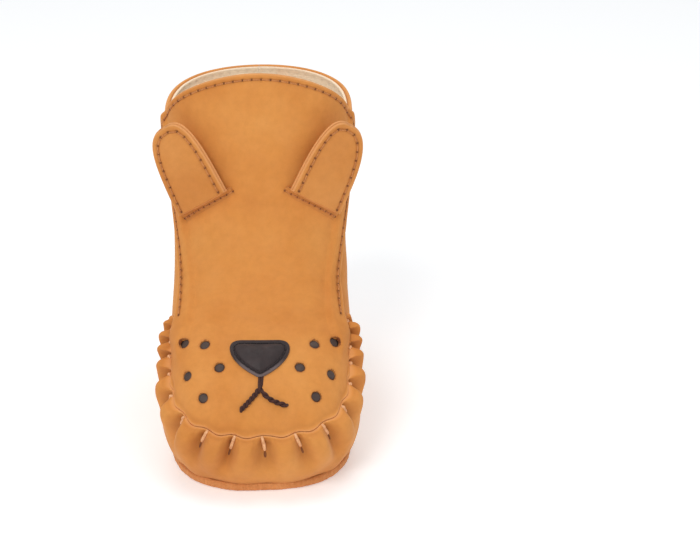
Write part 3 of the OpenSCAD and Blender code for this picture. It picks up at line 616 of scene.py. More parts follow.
def stitch_parts(holes, normals, d=THREAD_D):
    """Threads that dive into the leather at each hole, and dark flat solids round the holes that paint the
    shade inside them.
    """
    threads, hole_shades = [], []
    t = np.linspace(0, 1, 9)
    arc = np.sin(math.pi * t) ** 0.5
    for a, b, na, nb in zip(holes[:-1], holes[1:], normals[:-1], normals[1:]):
        line = a + (b - a) * t[:, None]
        n = unit(na + (nb - na) * t[:, None])
        lift = -STITCH_SINK + (STITCH_SINK + 0.10 * d) * arc
        threads.append(tube(line + n * lift[:, None], n, d, d * 0.8, 8, 0.72 + 0.28 * arc))
    for k, (p, n) in enumerate(zip(holes, normals)):
        ahead = unit(holes[min(k + 1, len(holes) - 1)] - holes[max(k - 1, 0)])
        reach = np.linspace(-0.50, 0.50, 7)
        line = p + ahead * reach[:, None] - n * 0.10
        taper = np.sqrt(np.clip(1 - (reach / (HOLE_LENGTH / 2)) ** 2, 0.04, 1))
        # Each hole gets a dark flat solid that stands in for the shade inside it: painted shade.
        hole_shades.append(tube(line, np.repeat(n[None], 7, 0), HOLE_WIDTH, 0.22, 8, taper))
    return threads, hole_shades


def stitch_rows(name, rows, body, node):
    """One piece of thread and one of dark solids painting the shade at the needle holes, for rows given as
    (holes, normals).
    """
    threads, hole_shades = [], []
    for holes, normals in rows:
        row_threads, row_hole_shades = stitch_parts(holes, normals)
        threads += row_threads
        hole_shades += row_hole_shades
    make_parts(name, threads, SEAM_THREAD, body, "ochre_thread", node)
    # The holes piece is painted shade, not leather or thread.
    make_parts(name + "_holes", hole_shades, HOLE_SHADE, body, "ochre_thread")


# ---- stitch lines shared by sheets and threads ----
class Row:
    """A stitch row: a dense line on the last, its needle holes and the normals there."""

    def __init__(self, angle, z, depth):
        line = lifted(angle, z, depth)
        length = travel(line)
        at = even_steps(length, STITCH_PITCH)
        a, h, d = (np.interp(at, length, v) for v in (angle, z, depth))
        holes = lifted(a, h, d)
        self.marks = (line, holes)
        self.stitches = (holes, last_normal(a, h))


def needlework(points, rows, groove=0.16, dimple=0.26):
    """How far stitch rows pull a face down, and the painted shade they add in the groove and round each hole.
    """
    sink, shade = np.zeros(points.shape[:-1]), np.zeros(points.shape[:-1])
    for line, holes in rows:
        to_line, to_hole = nearest(points, line), nearest(points, holes)
        beside = bell(to_line, GROOVE_WIDTH)
        sink = np.maximum(sink, groove * beside + dimple * bell(to_hole, DIMPLE_WIDTH))
        shade = np.minimum(shade, -0.05 * beside - 0.26 * bell(to_hole, 0.5))
    return sink, shade


# ---- face panel ----
def panel_raise(side, z):
    to_edge = (1 - np.abs(side)) * panel_edge(z) / DEGREES_PER_RADIAN * section(z)[3]
    beside = 1 - ease(SEAM_OVERLAP + 0.6, SEAM_OVERLAP + 3.6, to_edge)
    return PANEL_RAISE * beside * ease(SIDE_SEAM - 9, SIDE_SEAM - 3, z)


ROW_SIDE_SHARE, ROW_REACH, ROW_TOP_DROP = 0.3, 0.98, 1.5


def panel_row():
    t = np.linspace(0, 1, 900)
    side = np.where(t < 0.5, -1, 1)
    s = np.where(t < 0.5, 2 * t, 2 - 2 * t)
    climb = np.clip(s / (2 * ROW_SIDE_SHARE), 0, 1)
    across = np.clip((s - 2 * ROW_SIDE_SHARE) / (1 - 2 * ROW_SIDE_SHARE), 0, 1)
    u = side * np.cos(np.pi / 2 * across) * ROW_REACH
    low = SIDE_SEAM + STITCH_INSET - 0.6
    high = front_top(ROW_REACH) - STITCH_INSET - ROW_TOP_DROP
    z = np.where(across <= 0, low + (high - low) * climb, front_top(u) - STITCH_INSET)
    angle = u * (panel_edge(z) - degrees_for(STITCH_INSET, z) * (1 - across) ** 2)
    return Row(angle, z, panel_raise(angle / panel_edge(z), z))


PANEL_ROW = panel_row()

SPOT_R = 1.62
SPOTS = [(0.80, 0.86), (0.58, 0.91), (0.42, 0.73), (0.76, 0.58), (0.59, 0.41)]


def spot_places():
    for side in (-1, 1):
        for x, share in SPOTS:
            z = face_z(share)
            yield float(angle_at(side * x * FOOT_WIDTH / 2, z)), float(z)


def spot_tube(angle, z, levels, width, height, sides, taper=None):
    """A round bar through a spot, along the last's normal."""
    n = last_normal(angle, z)
    side = unit(np.cross(n, [0, 0, 1.0]))
    path = lifted(angle, z, 0.0) + n * levels[:, None]
    return tube(path, np.repeat(side[None], len(levels), 0), width, height, sides, taper)


def punch(obj):
    """Cuts the round spots through a sheet with slightly uneven cutters."""
    rng = np.random.default_rng(11)
    parts = []
    for angle, z in spot_places():
        stretch = rng.uniform(0.95, 1.05)
        parts.append(spot_tube(angle, z, np.linspace(-4, 3, 3), 2 * SPOT_R * stretch, 2 * SPOT_R, 40))
    verts, faces = join_parts(parts)
    # The cutter's tone of 0.40 goes to the walls of the holes: painted shade on the walls.
    cutter = make_mesh("spot_cutter", verts, faces, TAN, np.full(len(verts), 0.40))
    modifier = obj.modifiers.new("spots", "BOOLEAN")
    modifier.operation = "DIFFERENCE"
    modifier.solver = "EXACT"
    modifier.object = cutter
    graph = bpy.context.evaluated_depsgraph_get()
    mesh = bpy.data.meshes.new_from_object(obj.evaluated_get(graph))
    obj.modifiers.clear()
    old, name = obj.data, obj.data.name
    obj.data = mesh
    bpy.data.meshes.remove(old)
    mesh.name = name
    mesh.shade_smooth()
    mesh.set_sharp_from_angle(angle=math.radians(50))
    bpy.data.objects.remove(cutter)


def seam_wave(tau):
    """The lacing draws the seam into a gentle scallop, in mm of height."""
    cosine = np.cos(2 * math.pi * pucker_phase(tau))
    return 0.38 * cosine * (1 - ease(80, 88, np.abs(tau)))


def make_face_panel():
    side, v = grid(2 * fine_ends(230, 0.012) - 1, fine_ends(200, 0.012))
    tau = side_to_tau(side)
    low = seam_spot(tau)[..., 1] + 0.02 + seam_wave(tau)
    z = low + (front_top(side) - low) * v
    angle = side * panel_edge(z)
    depth = panel_raise(side, z)
    face = lifted(angle, z, depth)
    sink, shade = needlework(face, [PANEL_ROW.marks])
    to_spot = nearest(face, [lifted(a, h, 0.0) for a, h in spot_places()])
    # Round each spot the face dips and its rim is painted with shade.
    brink = bell(to_spot - SPOT_R, 0.5)
    sink = sink + 0.35 * brink * (to_spot < 4)
    shade = shade - 0.16 * brink
    # The gathered edge turns outwards and the face swells a little over the toes.
    to_seam = (z - low) * 1.5
    drawn = 0.5 + 0.5 * np.cos(2 * math.pi * pucker_phase(tau))
    middle = 1 - ease(0.9, 0.99, np.abs(side))
    lip = ((0.55 - 0.75 * drawn) * bell(to_seam, 1.2) - 0.22 * drawn * bell(to_seam - 2.5, 2.0)) * middle
    # Painted shade in the dip behind the lip and a painted highlight along the turned-out lip.
    shade = shade - 0.05 * bell(to_seam - 2.4, 1.2) + 0.12 * bell(to_seam, 0.9)
    brow = -0.55 * bell(z - 52, 3.0) * ease(0.45, 0.9, np.abs(side))
    brow = brow - 0.25 * bell(z - 47, 3.5) * (1 - side**2)
    obj = leather_sheet(
        "face_panel_leather", angle, z, depth - sink + lip + brow, LEATHER, TAN, 0.5 + shade,
        edge=0.16 + 0.26 * ease(0, 3, to_seam), pale_edge=0.30
    )
    punch(obj)
    return dress(obj, BOOTIE, "tan_leather", "face_panel")


def make_underlay():
    """The dark layer behind the panel, with a soft plug standing in each spot."""
    x, z = grid(np.linspace(-0.87, 0.87, 120) * FOOT_WIDTH / 2, np.linspace(face_z(0.27), face_z(1.0), 70))
    depth = np.full(x.shape, -LEATHER - LAYER_GAP)
    obj = leather_sheet("spot_underlay", angle_at(x, z), z, depth, UNDERLAY, SPOT_DARK, edge=0.2, pale_edge=0)
    mesh = obj.data
    parts = [(np.array([v.co[:] for v in mesh.vertices]) / MM, [tuple(f.vertices) for f in mesh.polygons])]
    levels = np.array([-1.35, -0.75, -0.60, -0.52, -0.48, -0.46])
    taper = np.array([1.0, 1.0, 0.93, 0.75, 0.4, 0.05])
    width = 2 * SPOT_R - 0.16
    parts += [spot_tube(angle, height, levels, width, width, 32, taper) for angle, height in spot_places()]
    bpy.data.objects.remove(obj)
    bpy.data.meshes.remove(mesh)
    return make_parts("spot_underlay", parts, SPOT_DARK, BOOTIE, "dark_leather", "muzzle_underlay")


# ---- toe wrap and lacing ----
WRAP_END, SEAM_GAP, WRAP_LEAD, WRAP_FOOT_SHARE = 96.0, 0.12, 6.0, 0.4
PUCKERS, PUCKER_END, PUCKER_SPREAD, PUCKER_SHIFT = 8, 84.0, 0.8, 2.0
WRAP_BULGE, ROLL = 2.6, 5.0
PUFF, PINCH, SIDE_CREASE, SOFT_WAVE = 1.75, 3.0, 0.42, 0.28


def pucker_tau(k):
    return PUCKER_SHIFT + (-1 if k < 0 else 1) * PUCKER_END * (abs(k) / PUCKERS) ** PUCKER_SPREAD


def pucker_phase(tau):
    return PUCKERS * (np.abs(tau - PUCKER_SHIFT) / PUCKER_END) ** (1 / PUCKER_SPREAD)


def wrap_spot(tau, v):
    """Angle and height on the wrap, from the sole (v = 0) along a curve up to the seam (v = 1)."""
    tau, v = np.broadcast_arrays(np.asarray(tau, float), np.asarray(v, float))
    low = SOLE + LAYER_GAP
    away = seam_away(tau)
    top = seam_spot(tau) + SEAM_GAP * away
    foot = np.stack([WRAP_END * np.sin(np.radians(tau)), np.full(tau.shape, low)], -1)
    after_top = top + WRAP_LEAD * away
    over_foot = foot.copy()
    over_foot[..., 1] += WRAP_FOOT_SHARE * (top[..., 1] - low)
    v, t = v[..., None], 1 - v[..., None]
    return top * v**3 + 3 * after_top * v**2 * t + 3 * over_foot * v * t**2 + foot * t**3


def wrap_column(tau):
    """Rough length of the wrap from the sole to the seam."""
    return 1.1 * (seam_spot(tau)[..., 1] - SOLE)


def wrap_lift(tau, v):
    """Outer depth of the wrap: it rolls out from the seam, puffs between puckers and is pinched at each."""
    column = wrap_column(tau)
    away = np.maximum(0, 1 - v) * column
    turn = np.abs(tau) / 90
    swell = 1 - 0.62 * turn**4
    roll = np.where(away < ROLL, 1 - (1 - np.minimum(away, ROLL) / ROLL) ** 2, 1)
    fall = np.where(away < ROLL, 1, 1 - ((away - ROLL) / (column - ROLL)) ** 2)
    phase = pucker_phase(tau)
    side = np.sign(tau - PUCKER_SHIFT) * (np.round(phase) > 0)
    cosine = 0.5 + 0.5 * np.cos(2 * math.pi * phase)
    end = 1 - ease(84, 89, np.abs(tau))
    uneven = np.sin(2.9 * np.round(phase) + side)
    reach = ease(-0.6, 2.4, away) * (1 - ease(5.0, 17.0 + 2 * uneven, away))
    valley = cosine ** (1.6 + 3.2 * np.exp(-away / 3.5))
    ruffle = 0.35 * ease(0.5, 0.85, turn)
    puff = (PUFF + ruffle) * (1 - cosine) ** 0.8 * ease(-0.4, 2.2, away) * (1 - ease(4, 16, away))
    soft = SOFT_WAVE * np.sin(phase * 4.1 + away / 3.3) * ease(2, 9, away)
    # Small creases run down beside each pucker, longer on one side than on the other.
    beside = np.abs(phase - np.round(phase)) - 0.22
    crease_fade = ease(-0.5, 1.0, away) * (1 - ease(1.5, 6.5 + 2 * uneven, away))
    crease = SIDE_CREASE * bell(beside, 0.055) * crease_fade
    pinch = (PINCH + 0.35 * uneven) * valley * reach
    under = 0.38 * ease(1.0, 1.03, v)
    return 0.3 + WRAP_BULGE * swell * roll * fall + end * (puff - pinch + soft - crease) - under


def make_toe_wrap():
    tau, v = grid(fine_ends(860, 0.004) * 180 - 90, 1 - (1 - fine_ends(100, 0.02)) ** 1.25)
    # At the sides the wrap runs on under the raised corner of the face panel.
    v = v * (1 + 0.14 * ease(66, 82, np.abs(tau)))
    spot = wrap_spot(tau, v)
    spot[..., 1] += seam_wave(tau) * np.minimum(v, 1) ** 3
    depth = wrap_lift(tau, v)
    away = (1 - v) * wrap_column(tau)
    cosine = 0.5 + 0.5 * np.cos(2 * math.pi * pucker_phase(tau))
    # Painted shade: deep in each pucker valley, a little all over, along the seam and low down against the
    # sole.
    shade = -0.18 * cosine**3 * ease(0.3, 2.5, away) * (1 - ease(6, 14, away)) - 0.03
    angle, z = spot[..., 0], spot[..., 1]
    shade = shade - 0.05 * (1 - ease(0.3, 1.6, away)) - 0.12 * (1 - ease(SOLE + 0.2, SOLE + 1.6, z))
    obj = leather_sheet("toe_wrap_leather", angle, z, depth, LEATHER, TAN, 0.5 + shade, edge=0.2)
    return dress(obj, BOOTIE, "tan_leather", "toe_wrap")


def make_lacing():
    """A short strand over the seam at every pucker, and below it a dark solid that paints the shade of the
    slit where the strand goes in.
    """
    strands, slit_shades = [], []
    t = np.linspace(0, 1, 22)
    arch = 0.62 * np.sin(math.pi * np.clip(t * 1.05, 0, 1)) ** 0.8
    hop = arch - 0.75 * ease(0.86, 1.0, t) - 0.25 * (1 - ease(0, 0.15, t))
    reach = np.linspace(4.5, 7.0, 9)
    slit_taper = np.sqrt(np.clip(1 - ((reach - 5.75) / 1.3) ** 2, 0.02, 1))
    for k in range(-PUCKERS, PUCKERS + 1):
        tau = pucker_tau(k)
        inwards = -np.sign(tau - PUCKER_SHIFT) if k else -1
        bend = 1.3 * (1 - t) ** 1.6 * inwards
        away = -0.3 + 5.0 * t
        taus = np.clip(tau + bend, -89, 89)
        v = 1 - away / wrap_column(taus)
        angle, z = wrap_spot(taus, v).T
        bed = np.where(v > 1, 0.35, wrap_lift(taus, np.minimum(v, 1)))
        points = lifted(angle, z, bed + 0.18 + hop)
        strands.append(tube(points, last_normal(angle, z), 1.12, 0.70, 12, 0.70 + 0.30 * np.sin(math.pi * t)))
        v = 1 - reach / wrap_column(tau)
        angle, z = wrap_spot(tau, v).T
        points = lifted(angle, z, wrap_lift(tau, v) + 0.02)
        # The slit is a dark flat solid standing in for the shade inside it: painted shade.
        slit_shades.append(tube(points, last_normal(angle, z), 0.95, 0.34, 10, slit_taper))
    make_parts("toe_lacing", strands, LACE, BOOTIE, "pale_lace", "gather_lacing")
    make_parts("lacing_slit_shade", slit_shades, HOLE_SHADE, BOOTIE, "dark_thread")


# ---- quarters ----
BACK_GAP, QUARTER_SPLIT, SIDE_GAP = 0.03, 0.4, 0.12
BACK_STITCH = 2.1
FLAP_LOW, FLAP_TOP, FLAP_REACH, FLAP_CORNER = 54.0, COLLAR_HEIGHT - 5.0, 13.0, 5.0
CREASE_X, SEWN_WIDTH = 6.0, 4.5


def rim_row():
    angle = np.linspace(TOP_EDGE_ANGLE + 6, 360 - TOP_EDGE_ANGLE - 6, 700)
    turned = np.where(angle > 180, angle - 360, angle)
    return Row(angle, rear_top(turned) - STITCH_INSET, np.zeros(700))


def back_row(side):
    z = np.linspace(SOLE + 4, FLAP_LOW - 3, 200)
    angle = angle_at(np.full(200, side * BACK_STITCH), z, -1)
    return Row(angle, z, np.zeros(200))


RIM_ROW = rim_row()
BACK_ROWS = [back_row(-1), back_row(1)]


def quarter_front(v):
    """Front edge of a quarter: up along the wrap's end, then under the face panel's edge."""
    lower = wrap_spot(90.0, np.minimum(v, QUARTER_SPLIT) / QUARTER_SPLIT) + np.array([SIDE_GAP, 0])
    z = SIDE_SEAM + (SIDE_HEIGHT - SIDE_SEAM) * (v - QUARTER_SPLIT) / (1 - QUARTER_SPLIT)
    upper = panel_edge(z) - degrees_for(SEAM_OVERLAP, z) * ease(0, 0.12, v - QUARTER_SPLIT)
    split = v <= QUARTER_SPLIT
    return np.where(split, lower[..., 0], upper), np.where(split, lower[..., 1], z)


def make_quarter(side, name, node):
    u, v = grid(fine_ends(170, 0.010), fine_ends(200, 0.010))
    low = SOLE + LAYER_GAP
    front, front_z = quarter_front(v)
    back = np.abs(angle_at(BACK_GAP, low + (COLLAR_HEIGHT - low) * v, -1))
    angle = front + (back - front) * u
    level = low + v / QUARTER_SPLIT * (SIDE_SEAM - low)
    top = rear_top(np.maximum(angle, TOP_EDGE_ANGLE))
    high = SIDE_SEAM + (top - SIDE_SEAM) * (v - QUARTER_SPLIT) / (1 - QUARTER_SPLIT)
    z = np.where(v <= QUARTER_SPLIT, front_z + (level - front_z) * ease(0, 0.5, u), high)
    angle = side * angle
    if side < 0:
        angle, z = angle[:, ::-1], z[:, ::-1]
    sink, shade = needlework(lifted(angle, z, 0.0), [row.marks for row in (RIM_ROW, *BACK_ROWS)])
    # Painted shade low down against the sole.
    shade = shade - 0.14 * (1 - ease(SOLE + 0.2, SOLE + 1.6, z))
    obj = leather_sheet(name, angle, z, -sink, LEATHER, TAN, 0.5 + shade, edge=0.4)
    return dress(obj, BOOTIE, "tan_leather", node)


# ---- sole, insole and lining ----
LINING_DEPTH = LEATHER + 3.5 * LAYER_GAP + UNDERLAY + LINING
INSOLE_CLEARANCE, PAD, LINER, RING = 0.4, 2.5, 0.8, 500
BEHIND_UNDERLAY = 0.975
LINING_TOP_GAP, FRONT_LINING_END, SIDE_LINING_START = 0.4, 78.6, 79.4


def outline(z, grow, level, count):
    """A level ring of points: the last's outline at height z, grown outwards, laid at a level."""
    angle = np.arange(count) * 360 / count
    p, n = last_point(angle, z), last_normal(angle, z)
    grown = p[:, :2] + np.reshape(grow, (-1, 1)) * unit(n[:, :2])
    return np.column_stack([grown, np.broadcast_to(level, count)])


def stack(name, rings, material):
    """A closed solid through rings of points from its underside to its top."""
    count = len(rings[0])
    faces = list(ring_quads(len(rings), count))
    faces.append(tuple(range(count))[::-1])
    faces.append(tuple((len(rings) - 1) * count + i for i in range(count)))
    return make_mesh(name, np.concatenate(rings), faces, material, sharp=55)


def smooth_noise(rng, count, width):
    """Periodic noise with unit spread, smoothed over width points."""
    values = rng.standard_normal(count)
    kernel = np.exp(-((np.minimum(np.arange(count), count - np.arange(count)) / width) ** 2))
    values = np.real(np.fft.ifft(np.fft.fft(values) * np.fft.fft(kernel)))
    return values / values.std()


def make_outsole():
    """The suede sole, with an uneven raw edge made of rings at rising heights."""
    rng = np.random.default_rng(5)
    count = 1400
    wave = 0.16 * smooth_noise(rng, count, 55) + 0.06 * smooth_noise(rng, count, 12)
    heights = [0.0, 0.12, 0.45, 0.9, 1.35, 1.8, 2.2, 2.5, 2.75, 2.95, 3.0, 3.0]
    grow = [-0.9, -0.25, 0.25, 0.5, 0.62, 0.66, 0.66, 0.62, 0.5, 0.25, -0.3, -4.0]
    rings = []
    for level, g in zip(heights, grow):
        rough = 0.055 * smooth_noise(rng, count, 2.2)
        lift = 0.05 * smooth_noise(rng, count, 30) if 0.3 < level < 2.9 else 0
        edge = 1.0 if g > -0.5 else 0.0
        rings.append(outline(SOLE, g + (wave + rough) * edge, level + lift, count))
    underside = [outline(SOLE, -d, 0.0, count) for d in (24.0, 12.0, 4.0)]
    top = [outline(SOLE, -d, SOLE, count) for d in (12.0, 24.0)]
    obj = stack("suede_sole", underside + rings + top, SUEDE)
    return dress(obj, BOOTIE, "sole_suede", "outsole")


def make_insole():
    """The foam pad and the cotton sock liner on it."""
    inset = -LINING_DEPTH - INSOLE_CLEARANCE
    base = SOLE + LAYER_GAP
    edges = ((0, 0.5), (0.12, 0.1), (0.5, 0.0), (0.88, 0.12), (1, 0.6))
    rings = [outline(SOLE + PAD * share, inset - pull, base + PAD * share, RING) for share, pull in edges]
    pad = stack("foam_pad", rings, FOAM)
    dress(pad, BOOTIE, "insole_foam", "foam_insole")
    base = base + PAD + LAYER_GAP
    edges = ((0, 0.3, 0), (0.5, 0, 0), (1, 0.3, 0), (1, 2.0, 0.12), (1, 5, 0.1), (1, 12, 0.0), (1, 20, -0.05))
    rings = [
        outline(SOLE + PAD, inset - pull, base + LINER * share + rise, RING) for share, pull, rise in edges
    ]
    liner = stack("sock_liner_cotton", rings, COTTON)
    return dress(liner, BOOTIE, "cotton_lining", "sock_liner")


def lining_depth(z):
    """Outer depth of the front lining, deeper behind the spots where the dark layer lies."""
    return -LEATHER - LAYER_GAP - BEHIND_UNDERLAY * (1 - ease(46, 56, z))


def cotton_sheet(name, node, angle, z, depth, around, top):
    """A lining sheet with the groove and dimples of one stitch row just below its top edge, painted with
    shade there, over the angles given.
    """
    line = lifted(around, top - STITCH_INSET, -LEATHER - LAYER_GAP - LINING)
    row = (line, resample(line, STITCH_PITCH))
    sink, shade = needlework(lifted(angle, z, depth - LINING), [row], 0.12, 0.2)
    rng = np.random.default_rng(sum((i + 1) * ord(c) for i, c in enumerate(name)))
    nap = rng.normal(0, 0.035, angle.shape)
    distance = edge_distance(last_point(angle, z))
    soft = rim(distance, 0.45)
    inner = lifted(angle, z, depth - LINING + 0.5 * soft + nap + sink)
    outer = lifted(angle, z, depth - 0.5 * soft)
    obj = make_slab(name, inner, outer, COTTON, 0.5 + 0.35 * shade)
    return dress(obj, BOOTIE, "cotton_lining", node)


def make_linings():
    low = SOLE + LAYER_GAP
    side, v = grid(2 * fine_ends(200, 0.01) - 1, fine_ends(190, 0.01))
    z = low + (front_top(side) - LINING_TOP_GAP - low) * v
    around = np.linspace(-76, 76, 400)
    cotton_sheet(
        "front_lining", "lining_front",
        side * FRONT_LINING_END, z, lining_depth(z), around, front_top(around / 79)
    )
    u, v = grid(fine_ends(150, 0.01), fine_ends(190, 0.01))
    back = float(np.abs(angle_at(BACK_GAP, SIDE_HEIGHT, -1)))
    angle = SIDE_LINING_START + (back - SIDE_LINING_START) * u
    z = low + (rear_top(angle) - LINING_TOP_GAP - low) * v
    around = np.linspace(82, 178, 300)
    for s, word in ((-1, "left"), (1, "right")):
        turn = slice(None, None, s)
        cotton_sheet(
            word + "_lining", "lining_" + word, s * angle[:, turn], z[:, turn],
            np.full(angle.shape, -LEATHER - LAYER_GAP), s * around, rear_top(around)
        )


# ---- nose and mouth ----
NOSE_W, NOSE_H, NOSE_CENTRE = 19.6, 13.4, 0.80
NOSE_TAPER, NOSE_TOP_FLAT = 2.3, 7.0
NOSE_LIFT = 0.1


def muzzle_steepness():
    z = face_z(NOSE_CENTRE)
    return np.linalg.norm(last_point(0, z + 1) - last_point(0, z - 1)) / 2


def nose_half(t):
    t = np.clip(t, 0, 1)
    return NOSE_W / 2 * (1 - (1 - t) ** NOSE_TAPER) * (1 - t**NOSE_TOP_FLAT) ** (1 / NOSE_TOP_FLAT) * 1.02


def nose_place(x, h):
    """Angle and height of a place on the muzzle given in mm across and mm up from the nose's lowest point."""
    z = face_z(NOSE_CENTRE) + (h / NOSE_H - 0.5) * NOSE_H / muzzle_steepness()
    return angle_at(x, z), z


def nose_outline(count, inset=0.0):
    t = 0.5 - 0.5 * np.cos(math.pi * np.linspace(0, 1, 400))
    half = nose_half(t)
    right = np.stack([half, t * NOSE_H], 1)
    loop = np.concatenate([right, right[::-1][1:-1] * np.array([-1, 1])])
    loop = np.concatenate([loop, loop[:1]])
    loop = resample(loop, travel(loop)[-1] / count)[:-1]
    for _ in range(14):
        loop = 0.5 * loop + 0.25 * (np.roll(loop, 1, 0) + np.roll(loop, -1, 0))
    if inset:
        ahead = unit(np.roll(loop, -1, 0) - np.roll(loop, 1, 0))
        loop = loop + inset * np.stack([-ahead[:, 1], ahead[:, 0]], 1)
    return loop


def make_nose():
    count = 200
    edge = nose_outline(count)
    centre = np.array([0.0, 0.60 * NOSE_H])
    shares = np.concatenate([np.linspace(0.03, 0.86, 26), [0.90, 0.93, 0.955, 0.975, 0.99, 1.0]])
    spots = centre + (edge - centre)[None] * shares[:, None, None]
    angle, z = nose_place(spots[..., 0], spots[..., 1])
    inside = np.linalg.norm(edge - centre, axis=1)[None] * (1 - shares[:, None])
    row = nose_outline(count, 1.25)
    row_points = lifted(*nose_place(row[:, 0], row[:, 1]), NOSE_LIFT + THIN_LEATHER)
    holes = resample(np.concatenate([row_points, row_points[:1]]), 1.9)[:-1]
    face = lifted(angle, z, NOSE_LIFT + THIN_LEATHER)
    to_row = nearest(face, row_points)
    crown = 0.75 * (1 - bell(inside, 3.2))
    lower = 1 - ease(0.25, 0.55, spots[..., 1] / NOSE_H)
    outer = NOSE_LIFT + THIN_LEATHER + crown - 0.42 * bell(to_row, 0.55) - 0.75 * rim(inside, 0.9)
    verts = np.concatenate([lifted(angle, z, depth).reshape(-1, 3) for depth in (NOSE_LIFT, outer)])
    rings = len(shares)
    total, top = rings * count, (rings - 1) * count
    faces = []
    for quad in ring_quads(rings, count):
        faces += [tuple(total + i for i in quad[::-1]), quad]
    for i in range(count):
        k = (i + 1) % count
        faces.append((top + i, top + k, total + top + k, total + top + i))
    faces.append(tuple(range(count))[::-1])
    faces.append(tuple(total + i for i in range(count)))
    # Painted highlight along the nose's lower bevel.
    shade = 0.5 + 0.45 * lower * bell(inside, 0.9)
    tone = np.concatenate([np.full(total, 0.5), shade.ravel()])
    obj = make_mesh("nose_leather", verts, faces, DARK, np.clip(tone, 0, 1))
    dress(obj, BOOTIE, "dark_leather", "nose_patch")
    closed = np.concatenate([holes, holes[:1]])
    normals = np.repeat(last_normal(0.0, face_z(NOSE_CENTRE))[None], len(closed), 0)
    threads, _ = stitch_parts(closed, normals, NOSE_THREAD_D)
    make_parts("nose_thread", threads, NOSE_THREAD, BOOTIE, "dark_thread", "nose_stitching")


MOUTH_LEFT = np.array([(0.01, 0.655), (0.005, 0.56), (-0.015, 0.515), (-0.10, 0.415), (-0.205, 0.305)])
MOUTH_RIGHT = np.array([(0.0, 0.53), (0.045, 0.475), (0.10, 0.425), (0.18, 0.385), (0.28, 0.35)])


def smooth_line(points, count):
    """A smooth line through a few points."""
    for _ in range(4):
        cut = np.empty((2 * len(points) - 2, 2))
        cut[0::2] = 0.75 * points[:-1] + 0.25 * points[1:]
        cut[1::2] = 0.25 * points[:-1] + 0.75 * points[1:]
        points = np.concatenate([points[:1], cut, points[-1:]])
    at = travel(points)
    t = np.linspace(0, at[-1], count)
    return np.stack([np.interp(t, at, points[:, k]) for k in range(2)], 1)


PLY_D, PLY_OFFSET, YARN_LIFT = 0.92, 0.40, 0.55


def make_mouth():
    """Two branches of yarn, each of two plies twisted round each other, with their ends sunk."""
    parts = []
    for points, twists in ((MOUTH_LEFT, 3.4), (MOUTH_RIGHT, 2.4)):
        line = smooth_line(points * np.array([FOOT_WIDTH / 2, 1.0]), 90)
        z = face_z(line[:, 1])
        angle = angle_at(line[:, 0], z)
        t = np.linspace(0, 1, 90)
        normals = last_normal(angle, z)
        path = lifted(angle, z, 0.0)
        side = np.cross(unit(np.gradient(path, axis=0)), normals)
        sunk = -0.5 * (1 - ease(0, 0.08, t)) - 0.9 * ease(0.93, 1.0, t)
        for ply in (0.0, math.pi):
            turn = ply + t * twists * 2 * math.pi
            offset = (np.cos(turn)[:, None] * side + np.sin(turn)[:, None] * normals) * PLY_OFFSET
            centre = path + normals * (YARN_LIFT + sunk)[:, None] + offset
            parts.append(tube(centre, normals, PLY_D, PLY_D, 12))
    make_parts("mouth_yarn", parts, MOUTH_THREAD, BOOTIE, "dark_thread", "mouth_embroidery")


# ---- ears ----
EAR_LENGTH, EAR_WIDTH, EAR_TILT = 29.0, 19.4, 13.0
EAR_INNER = np.array([15.0, 0.68 * SHAFT_HEIGHT])
EAR_OUTER = np.array([52.0, 0.58 * SHAFT_HEIGHT])
EAR_STAND, EAR_SQUARE, EAR_TAPER, EAR_SHIFT, EAR_START = 1.8, 3.0, 0.10, 4.0, 0.9
EAR_FACE = 2 * THIN_LEATHER + 0.1
TAB_DEPTH, TAB_LEAN, TAB_RISE = 3.2, 1.1, 0.8
TAB_OUT, TAB_UP, TAB_FLARE = 3.0, 1.4, 0.0364
BASE_ROW, BASE_PITCH_SHARE = -2.1, 0.82
EAR_CURL, EAR_FOLD, EAR_LEAN, EAR_EDGE = 0.011, 0.55, 0.5, 0.42
SHAFT_BESIDE_EAR = (33.0, 0.62 * SHAFT_HEIGHT)
BEND_FROM, BEND_TO = 0.1, 2.0


